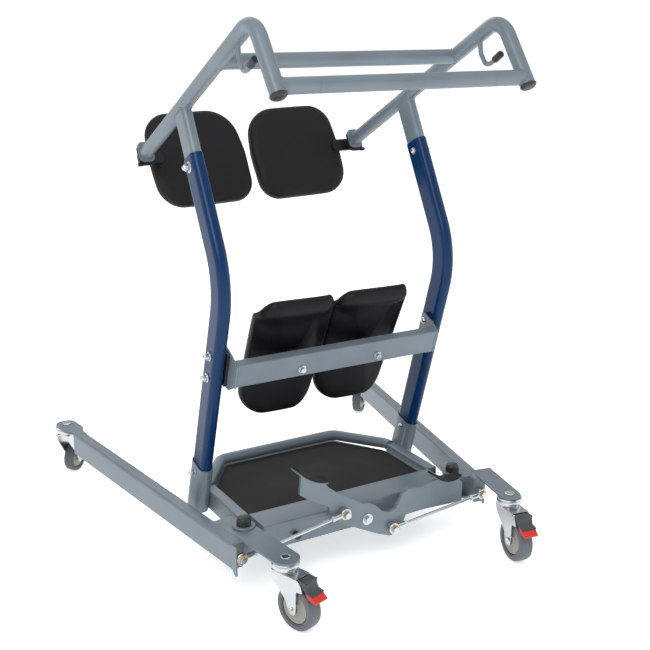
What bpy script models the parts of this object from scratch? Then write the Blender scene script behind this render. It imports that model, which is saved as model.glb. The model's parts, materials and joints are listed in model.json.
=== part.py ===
"""Standing frame: a non-powered stand aid with a footplate, knee pads and a swing-up split seat.

Metres, +X across, +Y from the attendant's end towards the patient's end, +Z up, floor at 0.
The rest pose has the legs part open, the rocker tilted and each caster swivelled its own way.
"""
import math

import bmesh
import bpy
from mathutils import Matrix, Vector

# Fits and gaps
SEAT_GAP = 0.0003          # between two pieces that rest on each other
RUNNING_GAP = 0.00005      # radial play of a shaft that turns in a bore
BOLT_PLAY = 0.0003         # radial play of a clamping bolt in its hole
ROUND_SIDES = 18

# Side frames
UPRIGHT_X = 0.288          # centre plane of each upright and handle
UPRIGHT_WIDTH = 0.030
UPRIGHT_DEPTH = 0.060
UPRIGHT_CORNER = 0.014
UPRIGHT_WALL = 0.0019
UPRIGHT_FOOT = (0.31136, 0.12530)   # y, z of an upright's lower end, inside its socket
LOWER_LEAN = math.radians(17.35)
UPPER_LEAN = math.radians(28.1)
LOWER_LENGTH = 0.578
KNEE_POINT = (             # y, z where the two straight runs of an upright would meet
    UPRIGHT_FOOT[0] - LOWER_LENGTH * math.sin(LOWER_LEAN),
    UPRIGHT_FOOT[1] + LOWER_LENGTH * math.cos(LOWER_LEAN),
)
KNEE_BEND = 0.190
SLEEVE_LENGTH = 0.2865     # knee point to the joint with the grey upper section
UPPER_LENGTH = 0.398       # knee point to the handle's centre line
TONGUE_LENGTH = 0.090
SOCKET_DEPTH = 0.1013
SOCKET_RIM = LOWER_LENGTH - SOCKET_DEPTH
SOCKET_WALL = 0.0027
SOCKET_BOLT_INSET = 0.0199
SOCKET_BOLT = SOCKET_RIM + SOCKET_BOLT_INSET
HANDLE_BOLT = 0.263

# Handles
HANDLE_RADIUS = 0.016
HANDLE_REAR = 0.276        # from the upper section back to the seat flange
HANDLE_FRONT = 0.394       # from the upper section forward to the peak's corner
HANDLE_NOSE = 0.1634
HANDLE_NOSE_FALL = math.radians(54.5)
HANDLE_BEND = 0.050
CROSSBAR_SEAM = 0.203
FRONT_BAR_INSET = 0.018    # from the nose's end back to the front crossbar
REAR_BAR_INSET = 0.178     # from the peak's corner down to the rear crossbar
HOOK_RADIUS = 0.005
HOOK_TIP_RADIUS = 0.0077

# Base
BEAM_HALF = 0.2446
BEAM_FRONT = 0.057
BEAM_REAR = 0.1327
BASE_TOP = 0.146
BEAM_UNDER = 0.111
KEEL_UNDER = 0.088
RAIL_INNER = 0.2450
RAIL_OUTER = 0.2720
LOOP_RADIUS = 0.0135
LOOP_HEIGHT = 0.1355
LOOP_SIDE = 0.2555
LOOP_SHOULDER = 0.333      # where the loop's sides turn in towards its rear run
LOOP_CORNER = 0.165
LOOP_REAR = 0.4555
MAT_TOP = 0.126
MAT_THICKNESS = 0.004
PLATE_THICKNESS = 0.003

# Legs
PIVOT_X = 0.282
PIVOT_Y = 0.081
PIN_RADIUS = 0.008
BUSH_RADIUS = 0.024
LEG_INNER = 0.035          # tube faces, outboard of the pivot
LEG_OUTER = 0.065
LEG_UNDER = 0.085
LEG_NOSE = 0.050           # tube's closed front end, ahead of the pivot
LEFT_CHEEK = 0.068         # outer wall's front end
RIGHT_CHEEK = 0.0495
LEG_TAIL = 0.730
PIVOT_PLATE_TOP = 0.1465
ARM_PLATE_TOP = 0.148
PLATE = 0.005
LEFT_SPLAY = math.radians(7.2)
RIGHT_SPLAY = math.radians(11.7)
STUD_OUT = 0.049
STUD_AHEAD = 0.065
STUD_HEIGHT = 0.113
REAR_SWIVEL = (0.050, LEG_TAIL + 0.076)   # outboard, behind the pivot
LEFT_SWIVEL = (0.0082, -0.168)
RIGHT_SWIVEL = (0.0748, -0.154)

# Spreader: a rocker and two tie rods
ROCKER_HEIGHT = 0.119
ROCKER_FRONT = 0.022
ROCKER_THICKNESS = 0.008
ROCKER_STUD = (0.065, 0.034)
ROD_PLANE = 0.0105
LEFT_ROD_TILT = math.radians(-4.54)
RIGHT_ROD_TILT = math.radians(3.97)
EYE_RADIUS = 0.010
EYE_WIDTH = 0.008
ROD_BOLT_RADIUS = 0.005
TREAD_SHEET = 0.003

# Knee bar, in its own leaning frame: y back from the bar's front face, z up along the bar
KNEE_BAR_ORIGIN = (0.140, 0.471)
KNEE_BAR_DEPTH = 0.025
KNEE_BAR_HALF_HEIGHT = 0.030
BRACKET_INNER = 0.2625
BRACKET_OUTER = 0.2665
KNEE_PAD_X = 0.0993
KNEE_PAD_FRONT = 0.060
KNEE_PAD_THICKNESS = 0.034
KNEE_PAD_LOW = -0.1815
KNEE_PAD_HIGH = 0.1215
KNEE_PAD_BOW = 0.0227
KNEE_LIP_HEIGHT = 0.0527
KNEE_LIP_ROLL = 0.028

# Seat paddles, in the handle's frame: y back along the handle, z up across it
SEAT_THICKNESS = 0.036
SEAT_FRONT = 0.013
SEAT_PIN_RADIUS = 0.008
SEAT_PIN_LENGTH = 0.040

# Casters
FRONT_WHEEL = 0.050
FRONT_TRAIL = 0.038
FRONT_TREAD = 0.032
REAR_WHEEL = 0.0375
REAR_TRAIL = 0.030
REAR_TREAD = 0.026
LEFT_FRONT_TURN = math.radians(17.0)
RIGHT_FRONT_TURN = math.radians(-9.0)
REAR_TURN = math.radians(-48.0)


def clear_scene():
    for obj in list(bpy.data.objects):
        bpy.data.objects.remove(obj, do_unlink=True)
    for mesh in list(bpy.data.meshes):
        bpy.data.meshes.remove(mesh)


def make_material(name, color, roughness, metallic):
    material = bpy.data.materials.new(name)
    material.use_nodes = True
    shader = material.node_tree.nodes["Principled BSDF"]
    shader.inputs["Base Color"].default_value = (*color, 1.0)
    shader.inputs["Roughness"].default_value = roughness
    shader.inputs["Metallic"].default_value = metallic
    material.diffuse_color = (*color, 1.0)
    return material


clear_scene()
PARTS = bpy.data.collections.new("standing_frame")
bpy.context.scene.collection.children.link(PARTS)

GREY_PAINT = make_material("grey_paint", (0.27, 0.32, 0.35), 0.40, 0.35)
NAVY_PAINT = make_material("navy_paint", (0.012, 0.045, 0.13), 0.28, 0.10)
BLACK_PAD = make_material("black_pad", (0.010, 0.010, 0.011), 0.72, 0.0)
BLACK_PLASTIC = make_material("black_plastic", (0.012, 0.012, 0.013), 0.38, 0.0)
BLACK_STEEL = make_material("black_steel", (0.015, 0.015, 0.017), 0.45, 0.4)
MAT_RUBBER = make_material("mat_rubber", (0.030, 0.027, 0.027), 0.85, 0.0)
ZINC = make_material("zinc", (0.70, 0.72, 0.74), 0.25, 1.0)
TYRE_GREY = make_material("tyre_grey", (0.16, 0.18, 0.21), 0.55, 0.0)
HUB_GREY = make_material("hub_grey", (0.33, 0.31, 0.28), 0.50, 0.0)
BRAKE_GREY = make_material("brake_grey", (0.055, 0.062, 0.065), 0.55, 0.0)
BRAKE_RED = make_material("brake_red", (0.62, 0.045, 0.025), 0.45, 0.0)


# Shapes. Each returns a mesh object in the frame of the piece it will belong to.

def shape_object(mesh):
    obj = bpy.data.objects.new("shape", mesh)
    PARTS.objects.link(obj)
    return obj


def from_bmesh(bm):
    mesh = bpy.data.meshes.new("shape")
    bm.to_mesh(mesh)
    bm.free()
    return shape_object(mesh)


def evaluated_mesh(obj):
    graph = bpy.context.evaluated_depsgraph_get()
    mesh = bpy.data.meshes.new_from_object(obj.evaluated_get(graph))
    bm = bmesh.new()
    bm.from_mesh(mesh)
    bmesh.ops.remove_doubles(bm, verts=bm.verts, dist=2e-6)
    bmesh.ops.recalc_face_normals(bm, faces=bm.faces)
    bm.to_mesh(mesh)
    bm.free()
    return mesh


def to_mesh_object(obj):
    """Turns a curve, or a mesh with modifiers, into a plain mesh object."""
    bpy.context.view_layer.update()
    mesh = evaluated_mesh(obj)
    bpy.data.objects.remove(obj, do_unlink=True)
    return shape_object(mesh)


def moved(obj, matrix):
    obj.data.transform(matrix)
    return obj


def box(x, y, z, bevel=0.0, edges="xyz", segments=2):
    """A block between three (low, high) pairs; edges names the directions whose edges are rounded."""
    size = [high - low for low, high in (x, y, z)]
    centre = [(high + low) / 2 for low, high in (x, y, z)]
    bm = bmesh.new()
    bmesh.ops.create_cube(bm, size=1.0)
    bmesh.ops.scale(bm, vec=size, verts=bm.verts)
    bmesh.ops.translate(bm, vec=centre, verts=bm.verts)
    if bevel:
        wanted = ["xyz".index(name) for name in edges]
        chosen = []
        for edge in bm.edges:
            run = edge.verts[1].co - edge.verts[0].co
            along = max(range(3), key=lambda axis: abs(run[axis]))
            if along in wanted:
                chosen.append(edge)
        bmesh.ops.bevel(bm, geom=chosen, offset=bevel, segments=segments, profile=0.5, affect="EDGES")
    return from_bmesh(bm)


def rod(start, end, radius, sides=ROUND_SIDES, end_radius=None):
    """A cylinder, or a cone where end_radius differs, between two points."""
    start = Vector(start)
    end = Vector(end)
    bm = bmesh.new()
    bmesh.ops.create_cone(
        bm,
        cap_ends=True,
        segments=sides,
        radius1=radius,
        radius2=radius if end_radius is None else end_radius,
        depth=(end - start).length,
    )
    turn = (end - start).to_track_quat("Z", "Y").to_matrix().to_4x4()
    bm.transform(Matrix.Translation((start + end) / 2) @ turn)
    return from_bmesh(bm)


def bore_radius(shaft_radius, play, sides=ROUND_SIDES):
    """The radius of a faceted hole whose flats clear the shaft's corners."""
    return (shaft_radius + play) / math.cos(math.pi / sides)


def bore(start, end, shaft_radius, play, sides=ROUND_SIDES):
    return rod(start, end, bore_radius(shaft_radius, play, sides), sides)


def bent_path(points, radii, step=math.radians(12)):
    """Points along straight runs with an arc of the given radius at each inner corner."""
    points = [Vector(point) for point in points]
    path = [points[0]]
    for before, corner, after, radius in zip(points, points[1:], points[2:], radii):
        arriving = (corner - before).normalized()
        leaving = (after - corner).normalized()
        turn = arriving.angle(leaving)
        inset = radius * math.tan(turn / 2)
        side = (leaving - arriving * math.cos(turn)) / math.sin(turn)
        steps = max(2, math.ceil(turn / step))
        for count in range(steps + 1):
            angle = turn * count / steps
            along = arriving * (radius * math.sin(angle) - inset)
            path.append(corner + along + side * radius * (1 - math.cos(angle)))
    path.append(points[-1])
    return path


def run_curve(path):
    curve = bpy.data.curves.new("run", "CURVE")
    curve.dimensions = "3D"
    curve.use_fill_caps = True
    spline = curve.splines.new("POLY")
    spline.points.add(len(path) - 1)
    for point, place in zip(spline.points, path):
        point.co = (*place, 1.0)
    return curve


def tube(points, radii, radius, sides=16, step=math.radians(12)):
    curve = run_curve(bent_path(points, radii, step))
    curve.bevel_depth = radius
    curve.bevel_resolution = (sides - 4) // 2
    return to_mesh_object(shape_object(curve))


def rounded_outline(corners, radii, step=math.radians(18)):
    """A closed outline in a plane with each corner rounded to its radius."""
    outline = []
    count = len(corners)
    for index, radius in enumerate(radii):
        before, corner, after = (corners[(index + shift) % count] for shift in (-1, 0, 1))
        if radius:
            arc = bent_path([(*before, 0), (*corner, 0), (*after, 0)], [radius], step)[1:-1]
            outline.extend((point.x, point.y) for point in arc)
        else:
            outline.append(tuple(corner))
    return outline


def outline_curve(outlines, dimensions="2D"):
    curve = bpy.data.curves.new("outline", "CURVE")
    curve.dimensions = dimensions
    for outline in outlines:
        spline = curve.splines.new("POLY")
        spline.points.add(len(outline) - 1)
        for point, (across, up) in zip(spline.points, outline):
            point.co = (across, up, 0.0, 1.0)
        spline.use_cyclic_u = True
    return curve


def oval(width, depth, corner):
    half_width = width / 2
    half_depth = depth / 2
    corners = [
        (-half_width, -half_depth),
        (half_width, -half_depth),
        (half_width, half_depth),
        (-half_width, half_depth),
    ]
    return rounded_outline(corners, [corner] * 4, math.radians(31))


def oval_tube(points, radii, width, depth, corner, step=math.radians(5)):
    """A flat-oval section swept along a path in the Y-Z plane; width is along X."""
    curve = run_curve(bent_path(points, radii, step))
    curve.twist_mode = "MINIMUM"
    profile = bpy.data.objects.new("section", outline_curve([oval(width, depth, corner)]))
    PARTS.objects.link(profile)
    curve.bevel_mode = "OBJECT"
    curve.bevel_object = profile
    swept = to_mesh_object(shape_object(curve))
    bpy.data.objects.remove(profile, do_unlink=True)
    return swept


def sheet(outline, thickness, plane="xy", offset=0.0, bevel=0.0):
    """A flat outline with a thickness: plane names the outline's axes, offset is the near face's place."""
    curve = outline_curve([outline])
    curve.fill_mode = "BOTH"
    curve.extrude = thickness / 2 - bevel
    curve.bevel_depth = bevel
    curve.bevel_resolution = 1
    flat = to_mesh_object(shape_object(curve))
    middle = Matrix.Translation((0, 0, offset + thickness / 2))
    turns = {
        "xy": Matrix.Identity(4),
        "xz": Matrix(((1, 0, 0, 0), (0, 0, 1, 0), (0, 1, 0, 0), (0, 0, 0, 1))),
        "yz": Matrix(((0, 0, 1, 0), (1, 0, 0, 0), (0, 1, 0, 0), (0, 0, 0, 1))),
    }
    moved(flat, turns[plane] @ middle)
    flat.data = evaluated_mesh(flat)
    return flat


def turned(profile, axis="z", place=(0, 0, 0), steps=16):
    """A profile of (radius, height) pairs turned about an axis; a ring's profile ends where it starts."""
    mesh = bpy.data.meshes.new("profile")
    ring = profile[0] == profile[-1]
    points = profile[:-1] if ring else profile
    edges = [(index, index + 1) for index in range(len(points) - 1)]
    if ring:
        edges.append((len(points) - 1, 0))
    mesh.from_pydata([(radius, 0, height) for radius, height in points], edges, [])
    obj = shape_object(mesh)
    screw = obj.modifiers.new("turn", "SCREW")
    screw.steps = steps
    screw.render_steps = steps
    screw.use_merge_vertices = True
    screw.merge_threshold = 1e-5
    solid = to_mesh_object(obj)
    turns = {
        "z": Matrix.Identity(4),
        "y": Matrix.Rotation(math.radians(-90), 4, "X"),
        "x": Matrix.Rotation(math.radians(90), 4, "Y"),
    }
    return moved(solid, Matrix.Translation(place) @ turns[axis])


def combine(base, others, operation):
    for other in others:
        modifier = base.modifiers.new(operation.lower(), "BOOLEAN")
        modifier.operation = operation
        modifier.solver = "EXACT"
        modifier.object = other
    result = to_mesh_object(base)
    for other in others:
        bpy.data.objects.remove(other, do_unlink=True)
    bm = bmesh.new()
    bm.from_mesh(result.data)
    bmesh.ops.dissolve_limit(bm, angle_limit=math.radians(0.3), verts=bm.verts, edges=bm.edges)
    bm.to_mesh(result.data)
    bm.free()
    return result


def union(pieces):
    return combine(pieces[0], pieces[1:], "UNION") if len(pieces) > 1 else pieces[0]


def cut(solid, cutters):
    return combine(solid, cutters, "DIFFERENCE")


def mirrored(obj):
    mesh = obj.data.copy()
    mesh.transform(Matrix.Diagonal((-1, 1, 1, 1)))
    mesh.flip_normals()
    return shape_object(mesh)


def piece(name, solid, material, parent):
    """Names a finished solid, gives it its material and hangs it on its frame."""
    solid.name = name
    solid.data.name = name
    solid.data.materials.clear()
    solid.data.materials.append(material)
    solid.data.shade_smooth()
    solid.data.set_sharp_from_angle(angle=math.radians(35))
    solid.parent = parent
    return solid


def pair(name, left_solid, material, left_parent, right_parent):
    """The left piece and its mirror image on the right."""
    right_solid = mirrored(left_solid)
    piece(f"{name}_left", left_solid, material, left_parent)
    piece(f"{name}_right", right_solid, material, right_parent)


def frame_at(name, parent, place=(0, 0, 0), turn=None):
    """An empty that carries pieces; a joint's empty sits on its axis."""
    empty = bpy.data.objects.new(name, None)
    empty.empty_display_size = 0.03
    PARTS.objects.link(empty)
    empty.parent = parent
    empty.matrix_local = Matrix.Translation(place) @ (turn or Matrix.Identity(4))
    return empty


def bolt_across(x_from, x_to, y, z, shaft, head, nut):
    """A cross bolt along X: a washer and button head at x_from, a washer and acorn nut at x_to."""
    way = 1 if x_to > x_from else -1
    pieces = [
        rod((x_from - way * 0.0040, y, z), (x_to + way * 0.005, y, z), shaft, 12),
        rod((x_from - way * 0.0012, y, z), (x_from, y, z), head * 1.25, 14),
        rod((x_from - way * 0.0060, y, z), (x_from - way * 0.0010, y, z), head * 0.80, 12, head),
        rod((x_to, y, z), (x_to + way * 0.0014, y, z), nut * 1.25, 14),
        rod((x_to + way * 0.0012, y, z), (x_to + way * 0.0075, y, z), nut, 6),
        rod((x_to + way * 0.0070, y, z), (x_to + way * 0.0130, y, z), nut * 0.80, 10, nut * 0.40),
    ]
    return union(pieces)


# Side frame directions, from the knee point

def below_knee(distance, ahead=0.0):
    """A point (y, z) down the lower run of an upright, moved towards the attendant by ahead."""
    y, z = KNEE_POINT
    return (
        y + distance * math.sin(LOWER_LEAN) - ahead * math.cos(LOWER_LEAN),
        z - distance * math.cos(LOWER_LEAN) - ahead * math.sin(LOWER_LEAN),
    )


def above_knee(distance, back=0.0):
    """A point (y, z) up the upper run of an upright, moved back along the handle by back."""
    y, z = KNEE_POINT
    return (
        y + distance * math.sin(UPPER_LEAN) + back * math.cos(UPPER_LEAN),
        z + distance * math.cos(UPPER_LEAN) - back * math.sin(UPPER_LEAN),
    )


ROOT = frame_at("standing_frame_base", None)


# Front beam: the upper box, the keel under it, the end lugs with their upright bushes and the rocker's boss

def front_beam():
    lug_top = PIVOT_PLATE_TOP - PLATE - 0.002
    lug_under = LEG_UNDER + PLATE + 0.002
    boss_front = ROCKER_FRONT + ROCKER_THICKNESS + 0.001
    pieces = [
        box((-BEAM_HALF, BEAM_HALF), (BEAM_FRONT, BEAM_REAR), (BEAM_UNDER, BASE_TOP), 0.003, "x"),
        box((-0.236, 0.236), (BEAM_FRONT - 0.002, 0.095), (KEEL_UNDER, BEAM_UNDER + 0.004), 0.002, "x", 1),
        rod((0, boss_front, ROCKER_HEIGHT), (0, BEAM_FRONT + 0.005, ROCKER_HEIGHT), 0.014),
    ]
    for side in (-1, 1):
        inner = side * (BEAM_HALF - 0.012)
        lug = sorted((inner, side * (PIVOT_X - 0.005)))
        pieces.append(box(lug, (PIVOT_Y - 0.019, PIVOT_Y + 0.019), (lug_under + 0.003, lug_top - 0.003)))
        pieces.append(rod((side * PIVOT_X, PIVOT_Y, lug_under), (side * PIVOT_X, PIVOT_Y, lug_top), BUSH_RADIUS))
    holes = [bore((0, 0.02, ROCKER_HEIGHT), (0, BEAM_FRONT + 0.0135, ROCKER_HEIGHT), 0.006, BOLT_PLAY)]
    for side in (-1, 1):
        x = side * PIVOT_X
        holes.append(bore((x, PIVOT_Y, 0.05), (x, PIVOT_Y, 0.2), PIN_RADIUS, RUNNING_GAP))
    piece("front_beam", cut(union(pieces), holes), GREY_PAINT, ROOT)


# Side rails with the sockets that hold the uprights

def side_rails():
    x = -UPRIGHT_X
    rim = below_knee(SOCKET_RIM)
    foot = below_knee(LOWER_LENGTH + 0.060)
    wide = UPRIGHT_WIDTH + 2 * (SOCKET_WALL + SEAT_GAP)
    deep = UPRIGHT_DEPTH + 2 * (SOCKET_WALL + SEAT_GAP)
    sleeve = oval_tube([(x, *rim), (x, *foot)], [], wide, deep, UPRIGHT_CORNER + SOCKET_WALL)
    pieces = [
        sleeve,
        box((-RAIL_OUTER, -RAIL_INNER), (BEAM_REAR + SEAT_GAP, 0.315), (0.098, BASE_TOP), 0.003, "y"),
        box((-RAIL_INNER - 0.004, -0.226), (BEAM_REAR + SEAT_GAP, 0.315), (0.1154, ledge_top())),
    ]
    top = below_knee(SOCKET_RIM - 0.02)
    bottom = below_knee(LOWER_LENGTH + SEAT_GAP)
    pocket = oval_tube(
        [(x, *top), (x, *bottom)],
        [],
        UPRIGHT_WIDTH + 2 * SEAT_GAP,
        UPRIGHT_DEPTH + 2 * SEAT_GAP,
        UPRIGHT_CORNER + SEAT_GAP,
    )
    y, z = below_knee(SOCKET_BOLT)
    cutters = [
        box((x - 0.05, x + 0.05), (0.2, 0.5), (0.0, 0.094)),
        pocket,
        bore((x - 0.05, y, z), (x + 0.05, y, z), 0.004, BOLT_PLAY, 12),
    ]
    pair("side_rail", cut(union(pieces), cutters), GREY_PAINT, ROOT, ROOT)


def ledge_top():
    return MAT_TOP - MAT_THICKNESS - 2 * SEAT_GAP - PLATE_THICKNESS


def rear_loop():
    half = [(LOOP_SIDE, 0.3155), (LOOP_SIDE, LOOP_SHOULDER), (LOOP_CORNER, LOOP_REAR)]
    corners = [(-x, y) for x, y in half] + half[::-1]
    points = [(x, y, LOOP_HEIGHT) for x, y in corners]
    loop = tube(points, [0.020, 0.035, 0.035, 0.020], LOOP_RADIUS, 12, math.radians(15))
    piece("rear_loop", loop, GREY_PAINT, ROOT)


def platform():
    plate_top = MAT_TOP - MAT_THICKNESS - SEAT_GAP
    half = RAIL_INNER - SEAT_GAP
    front = BEAM_REAR + SEAT_GAP + 0.0003
    rear = LOOP_REAR + 0.004
    side = [(half, front), (half, LOOP_SHOULDER + 0.002), (LOOP_CORNER + 0.001, rear)]
    plate = side + [(-x, y) for x, y in side[::-1]]
    under = plate_top - PLATE_THICKNESS
    piece("platform_plate", sheet(plate, PLATE_THICKNESS, "xy", under), GREY_PAINT, ROOT)
    half = 0.2422
    rear = LOOP_REAR - LOOP_RADIUS - 0.0007
    side = [(half, front), (half, LOOP_SHOULDER - 0.013), (LOOP_CORNER - 0.010, rear)]
    mat = side + [(-x, y) for x, y in side[::-1]]
    outline = rounded_outline(mat, [0.002, 0.012, 0.020, 0.020, 0.012, 0.002])
    piece("platform_mat", sheet(outline, MAT_THICKNESS, "xy", MAT_TOP - MAT_THICKNESS), MAT_RUBBER, ROOT)


def bumpers():
    y = BEAM_FRONT - 0.002 - SEAT_GAP
    stop = turned([(0, 0.0145), (0.0062, 0.0145), (0.008, 0.0125), (0.008, 0), (0, 0)], "y", (0, 0, 0), 16)
    moved(stop, Matrix.Translation((-0.168, y, 0.1105)) @ Matrix.Rotation(math.pi, 4, "Z"))
    pair("bumper", stop, BLACK_PLASTIC, ROOT, ROOT)


def rocker_bolt():
    front = ROCKER_FRONT - SEAT_GAP
    pieces = [
        rod((0, front - 0.005, ROCKER_HEIGHT), (0, BEAM_FRONT + 0.013, ROCKER_HEIGHT), 0.006),
        rod((0, front - 0.0022, ROCKER_HEIGHT), (0, front, ROCKER_HEIGHT), 0.0135, 28),
        rod((0, front - 0.0088, ROCKER_HEIGHT), (0, front - 0.002, ROCKER_HEIGHT), 0.0085, 6),
    ]
    piece("rocker_bolt", union(pieces), ZINC, ROOT)


def leg_pivots():
    x = -PIVOT_X
    boss_top = PIVOT_PLATE_TOP + 0.005
    profile = [
        (0, boss_top + 0.0145), (0.012, boss_top + 0.0145), (0.015, boss_top + 0.0115),
        (0.0155, boss_top + SEAT_GAP), (0, boss_top + SEAT_GAP),
    ]
    cap = turned(profile, "z", (x, PIVOT_Y, 0))
    pieces = [
        cap,
        rod((x, PIVOT_Y, LEG_UNDER - 0.004), (x, PIVOT_Y, boss_top + 0.004), PIN_RADIUS),
        rod((x, PIVOT_Y, LEG_UNDER - 0.007), (x, PIVOT_Y, LEG_UNDER - SEAT_GAP), 0.013, 18),
    ]
    pair("leg_pivot", union(pieces), BLACK_PLASTIC, ROOT, ROOT)


# Uprights: a bent flat-oval tube, open at the top for the handle's tongue

def uprights():
    x = -UPRIGHT_X
    points = [(x, *below_knee(LOWER_LENGTH)), (x, *KNEE_POINT), (x, *above_knee(SLEEVE_LENGTH))]
    solid = oval_tube(points, [KNEE_BEND], UPRIGHT_WIDTH, UPRIGHT_DEPTH, UPRIGHT_CORNER)
    inner = 2 * UPRIGHT_WALL
    pocket = oval_tube(
        [(x, *above_knee(SLEEVE_LENGTH - TONGUE_LENGTH - 0.002)), (x, *above_knee(SLEEVE_LENGTH + 0.02))],
        [],
        UPRIGHT_WIDTH - inner,
        UPRIGHT_DEPTH - inner,
        UPRIGHT_CORNER - UPRIGHT_WALL,
    )
    bolts = [below_knee(SOCKET_BOLT), above_knee(HANDLE_BOLT)] + knee_bolt_places()
    holes = [bore((x - 0.05, y, z), (x + 0.05, y, z), 0.004, BOLT_PLAY, 12) for y, z in bolts]
    pair("upright", cut(solid, holes + [pocket]), NAVY_PAINT, ROOT, ROOT)


def knee_bolt_places():
    """The two bolts (y, z) that clamp each end of the knee bar to its upright."""
    places = []
    for up in (-0.018, 0.036):
        y, z = KNEE_BAR_ORIGIN
        back = knee_bolt_back()
        places.append((
            y + back * math.cos(LOWER_LEAN) - up * math.sin(LOWER_LEAN),
            z + back * math.sin(LOWER_LEAN) + up * math.cos(LOWER_LEAN),
        ))
    return places


def knee_bolt_back():
    """How far the upright's centre line is behind the knee bar's front face."""
    y, z = KNEE_BAR_ORIGIN
    knee_y, knee_z = KNEE_POINT
    gap = (knee_y - y) * math.cos(LOWER_LEAN) + (knee_z - z) * math.sin(LOWER_LEAN)
    return gap - 0.002


def frame_bolts():
    y, z = below_knee(SOCKET_BOLT)
    reach = UPRIGHT_WIDTH / 2 + SEAT_GAP + SOCKET_WALL + SEAT_GAP
    solid = bolt_across(-UPRIGHT_X + reach, -UPRIGHT_X - reach, y, z, 0.004, 0.0065, 0.0068)
    pair("socket_bolt", solid, ZINC, ROOT, ROOT)
    y, z = above_knee(HANDLE_BOLT)
    reach = UPRIGHT_WIDTH / 2 + SEAT_GAP
    solid = bolt_across(-UPRIGHT_X + reach, -UPRIGHT_X - reach, y, z, 0.004, 0.0065, 0.0080)
    pair("handle_bolt", solid, ZINC, ROOT, ROOT)


# Handles: bent tube, crossbar stubs, hook, oval tongue and the flange that carries a seat paddle

def handle_points():
    """Nose, peak corner and rear end of a handle, as (y, z)."""
    peak = above_knee(UPPER_LENGTH, -HANDLE_FRONT)
    nose = (
        peak[0] - HANDLE_NOSE * math.cos(HANDLE_NOSE_FALL),
        peak[1] - HANDLE_NOSE * math.sin(HANDLE_NOSE_FALL),
    )
    return nose, peak, above_knee(UPPER_LENGTH, HANDLE_REAR)


def crossbar_places():
    nose, peak, rear = handle_points()
    front = (
        nose[0] + FRONT_BAR_INSET * math.cos(HANDLE_NOSE_FALL),
        nose[1] + FRONT_BAR_INSET * math.sin(HANDLE_NOSE_FALL),
    )
    back = (
        peak[0] + REAR_BAR_INSET * math.cos(UPPER_LEAN),
        peak[1] - REAR_BAR_INSET * math.sin(UPPER_LEAN),
    )
    return front, back


def hook_points():
    peak = handle_points()[1]
    offsets = [
        (0.036, -0.030), (0.067, -0.049), (0.062, -0.076),
        (0.044, -0.0975), (0.027, -0.094), (-0.003, -0.075),
    ]
    return [(-UPRIGHT_X, peak[0] + back, peak[1] + up) for back, up in offsets]


def handle_sides():
    x = -UPRIGHT_X
    nose, peak, rear = handle_points()
    pieces = [tube([(x, *nose), (x, *peak), (x, *rear)], [HANDLE_BEND], HANDLE_RADIUS, 16)]
    for y, z in crossbar_places():
        pieces.append(rod((x, y, z), (-CROSSBAR_SEAM, y, z), HANDLE_RADIUS * 0.998, 16))
    pieces.append(tube(hook_points(), [0.012, 0.014, 0.012, 0.010], HOOK_RADIUS, 8, math.radians(24)))
    low = above_knee(SLEEVE_LENGTH - TONGUE_LENGTH)
    high = above_knee(UPPER_LENGTH)
    section = 2 * (UPRIGHT_WALL + SEAT_GAP)
    tongue = oval_tube(
        [(x, *low), (x, *high)],
        [],
        UPRIGHT_WIDTH - section,
        UPRIGHT_DEPTH - section,
        UPRIGHT_CORNER - UPRIGHT_WALL - SEAT_GAP,
    )
    pieces.append(tongue)
    outline = rounded_outline([(-0.016, -0.040), (0.016, -0.040), (0.016, 0.024), (-0.016, 0.024)], [0.007] * 4)
    flange = sheet(outline, 0.005, "xz", -0.005)
    pin = rod((0, -0.004, 0), (0, SEAT_PIN_LENGTH, 0), SEAT_PIN_RADIUS)
    to_seat = Matrix.Translation((x, *rear)) @ Matrix.Rotation(-UPPER_LEAN, 4, "X")
    pieces += [moved(flange, to_seat), moved(pin, to_seat)]
    y, z = above_knee(HANDLE_BOLT)
    hole = bore((x - 0.05, y, z), (x + 0.05, y, z), 0.004, BOLT_PLAY, 12)
    pair("handle_side", cut(union(pieces), [hole]), GREY_PAINT, ROOT, ROOT)


def crossbars():
    for name, (y, z) in zip(("crossbar_front", "crossbar_rear"), crossbar_places()):
        half = CROSSBAR_SEAM - SEAT_GAP
        solid = rod((-half, y, z), (half, y, z), HANDLE_RADIUS, 16)
        piece(name, solid, GREY_PAINT, ROOT)


def end_caps():
    """A cap over each handle's nose."""
    nose = handle_points()[0]
    outer = HANDLE_RADIUS + 0.0016
    cap = turned([(0, 0.0075), (outer - 0.005, 0.0070), (outer, 0.0030), (outer, SEAT_GAP), (0, SEAT_GAP)])
    out = Matrix.Rotation(math.pi / 2 + HANDLE_NOSE_FALL, 4, "X")
    pair("end_cap", moved(cap, Matrix.Translation((-UPRIGHT_X, *nose)) @ out), BLACK_PLASTIC, ROOT, ROOT)


def hook_tips():
    points = [Vector(point) for point in hook_points()]
    end = points[-1]
    way = (end - points[-2]).normalized()
    sleeve = rod(end - way * 0.022, end + way * 0.004, HOOK_TIP_RADIUS, 16)
    hole = bore(end - way * 0.03, end + way * SEAT_GAP, HOOK_RADIUS, SEAT_GAP, 16)
    pair("hook_tip", cut(sleeve, [hole]), BLACK_PLASTIC, ROOT, ROOT)


# Knee bar with its end brackets, clamp bolts and the two pads, all in the bar's leaning frame

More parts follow.
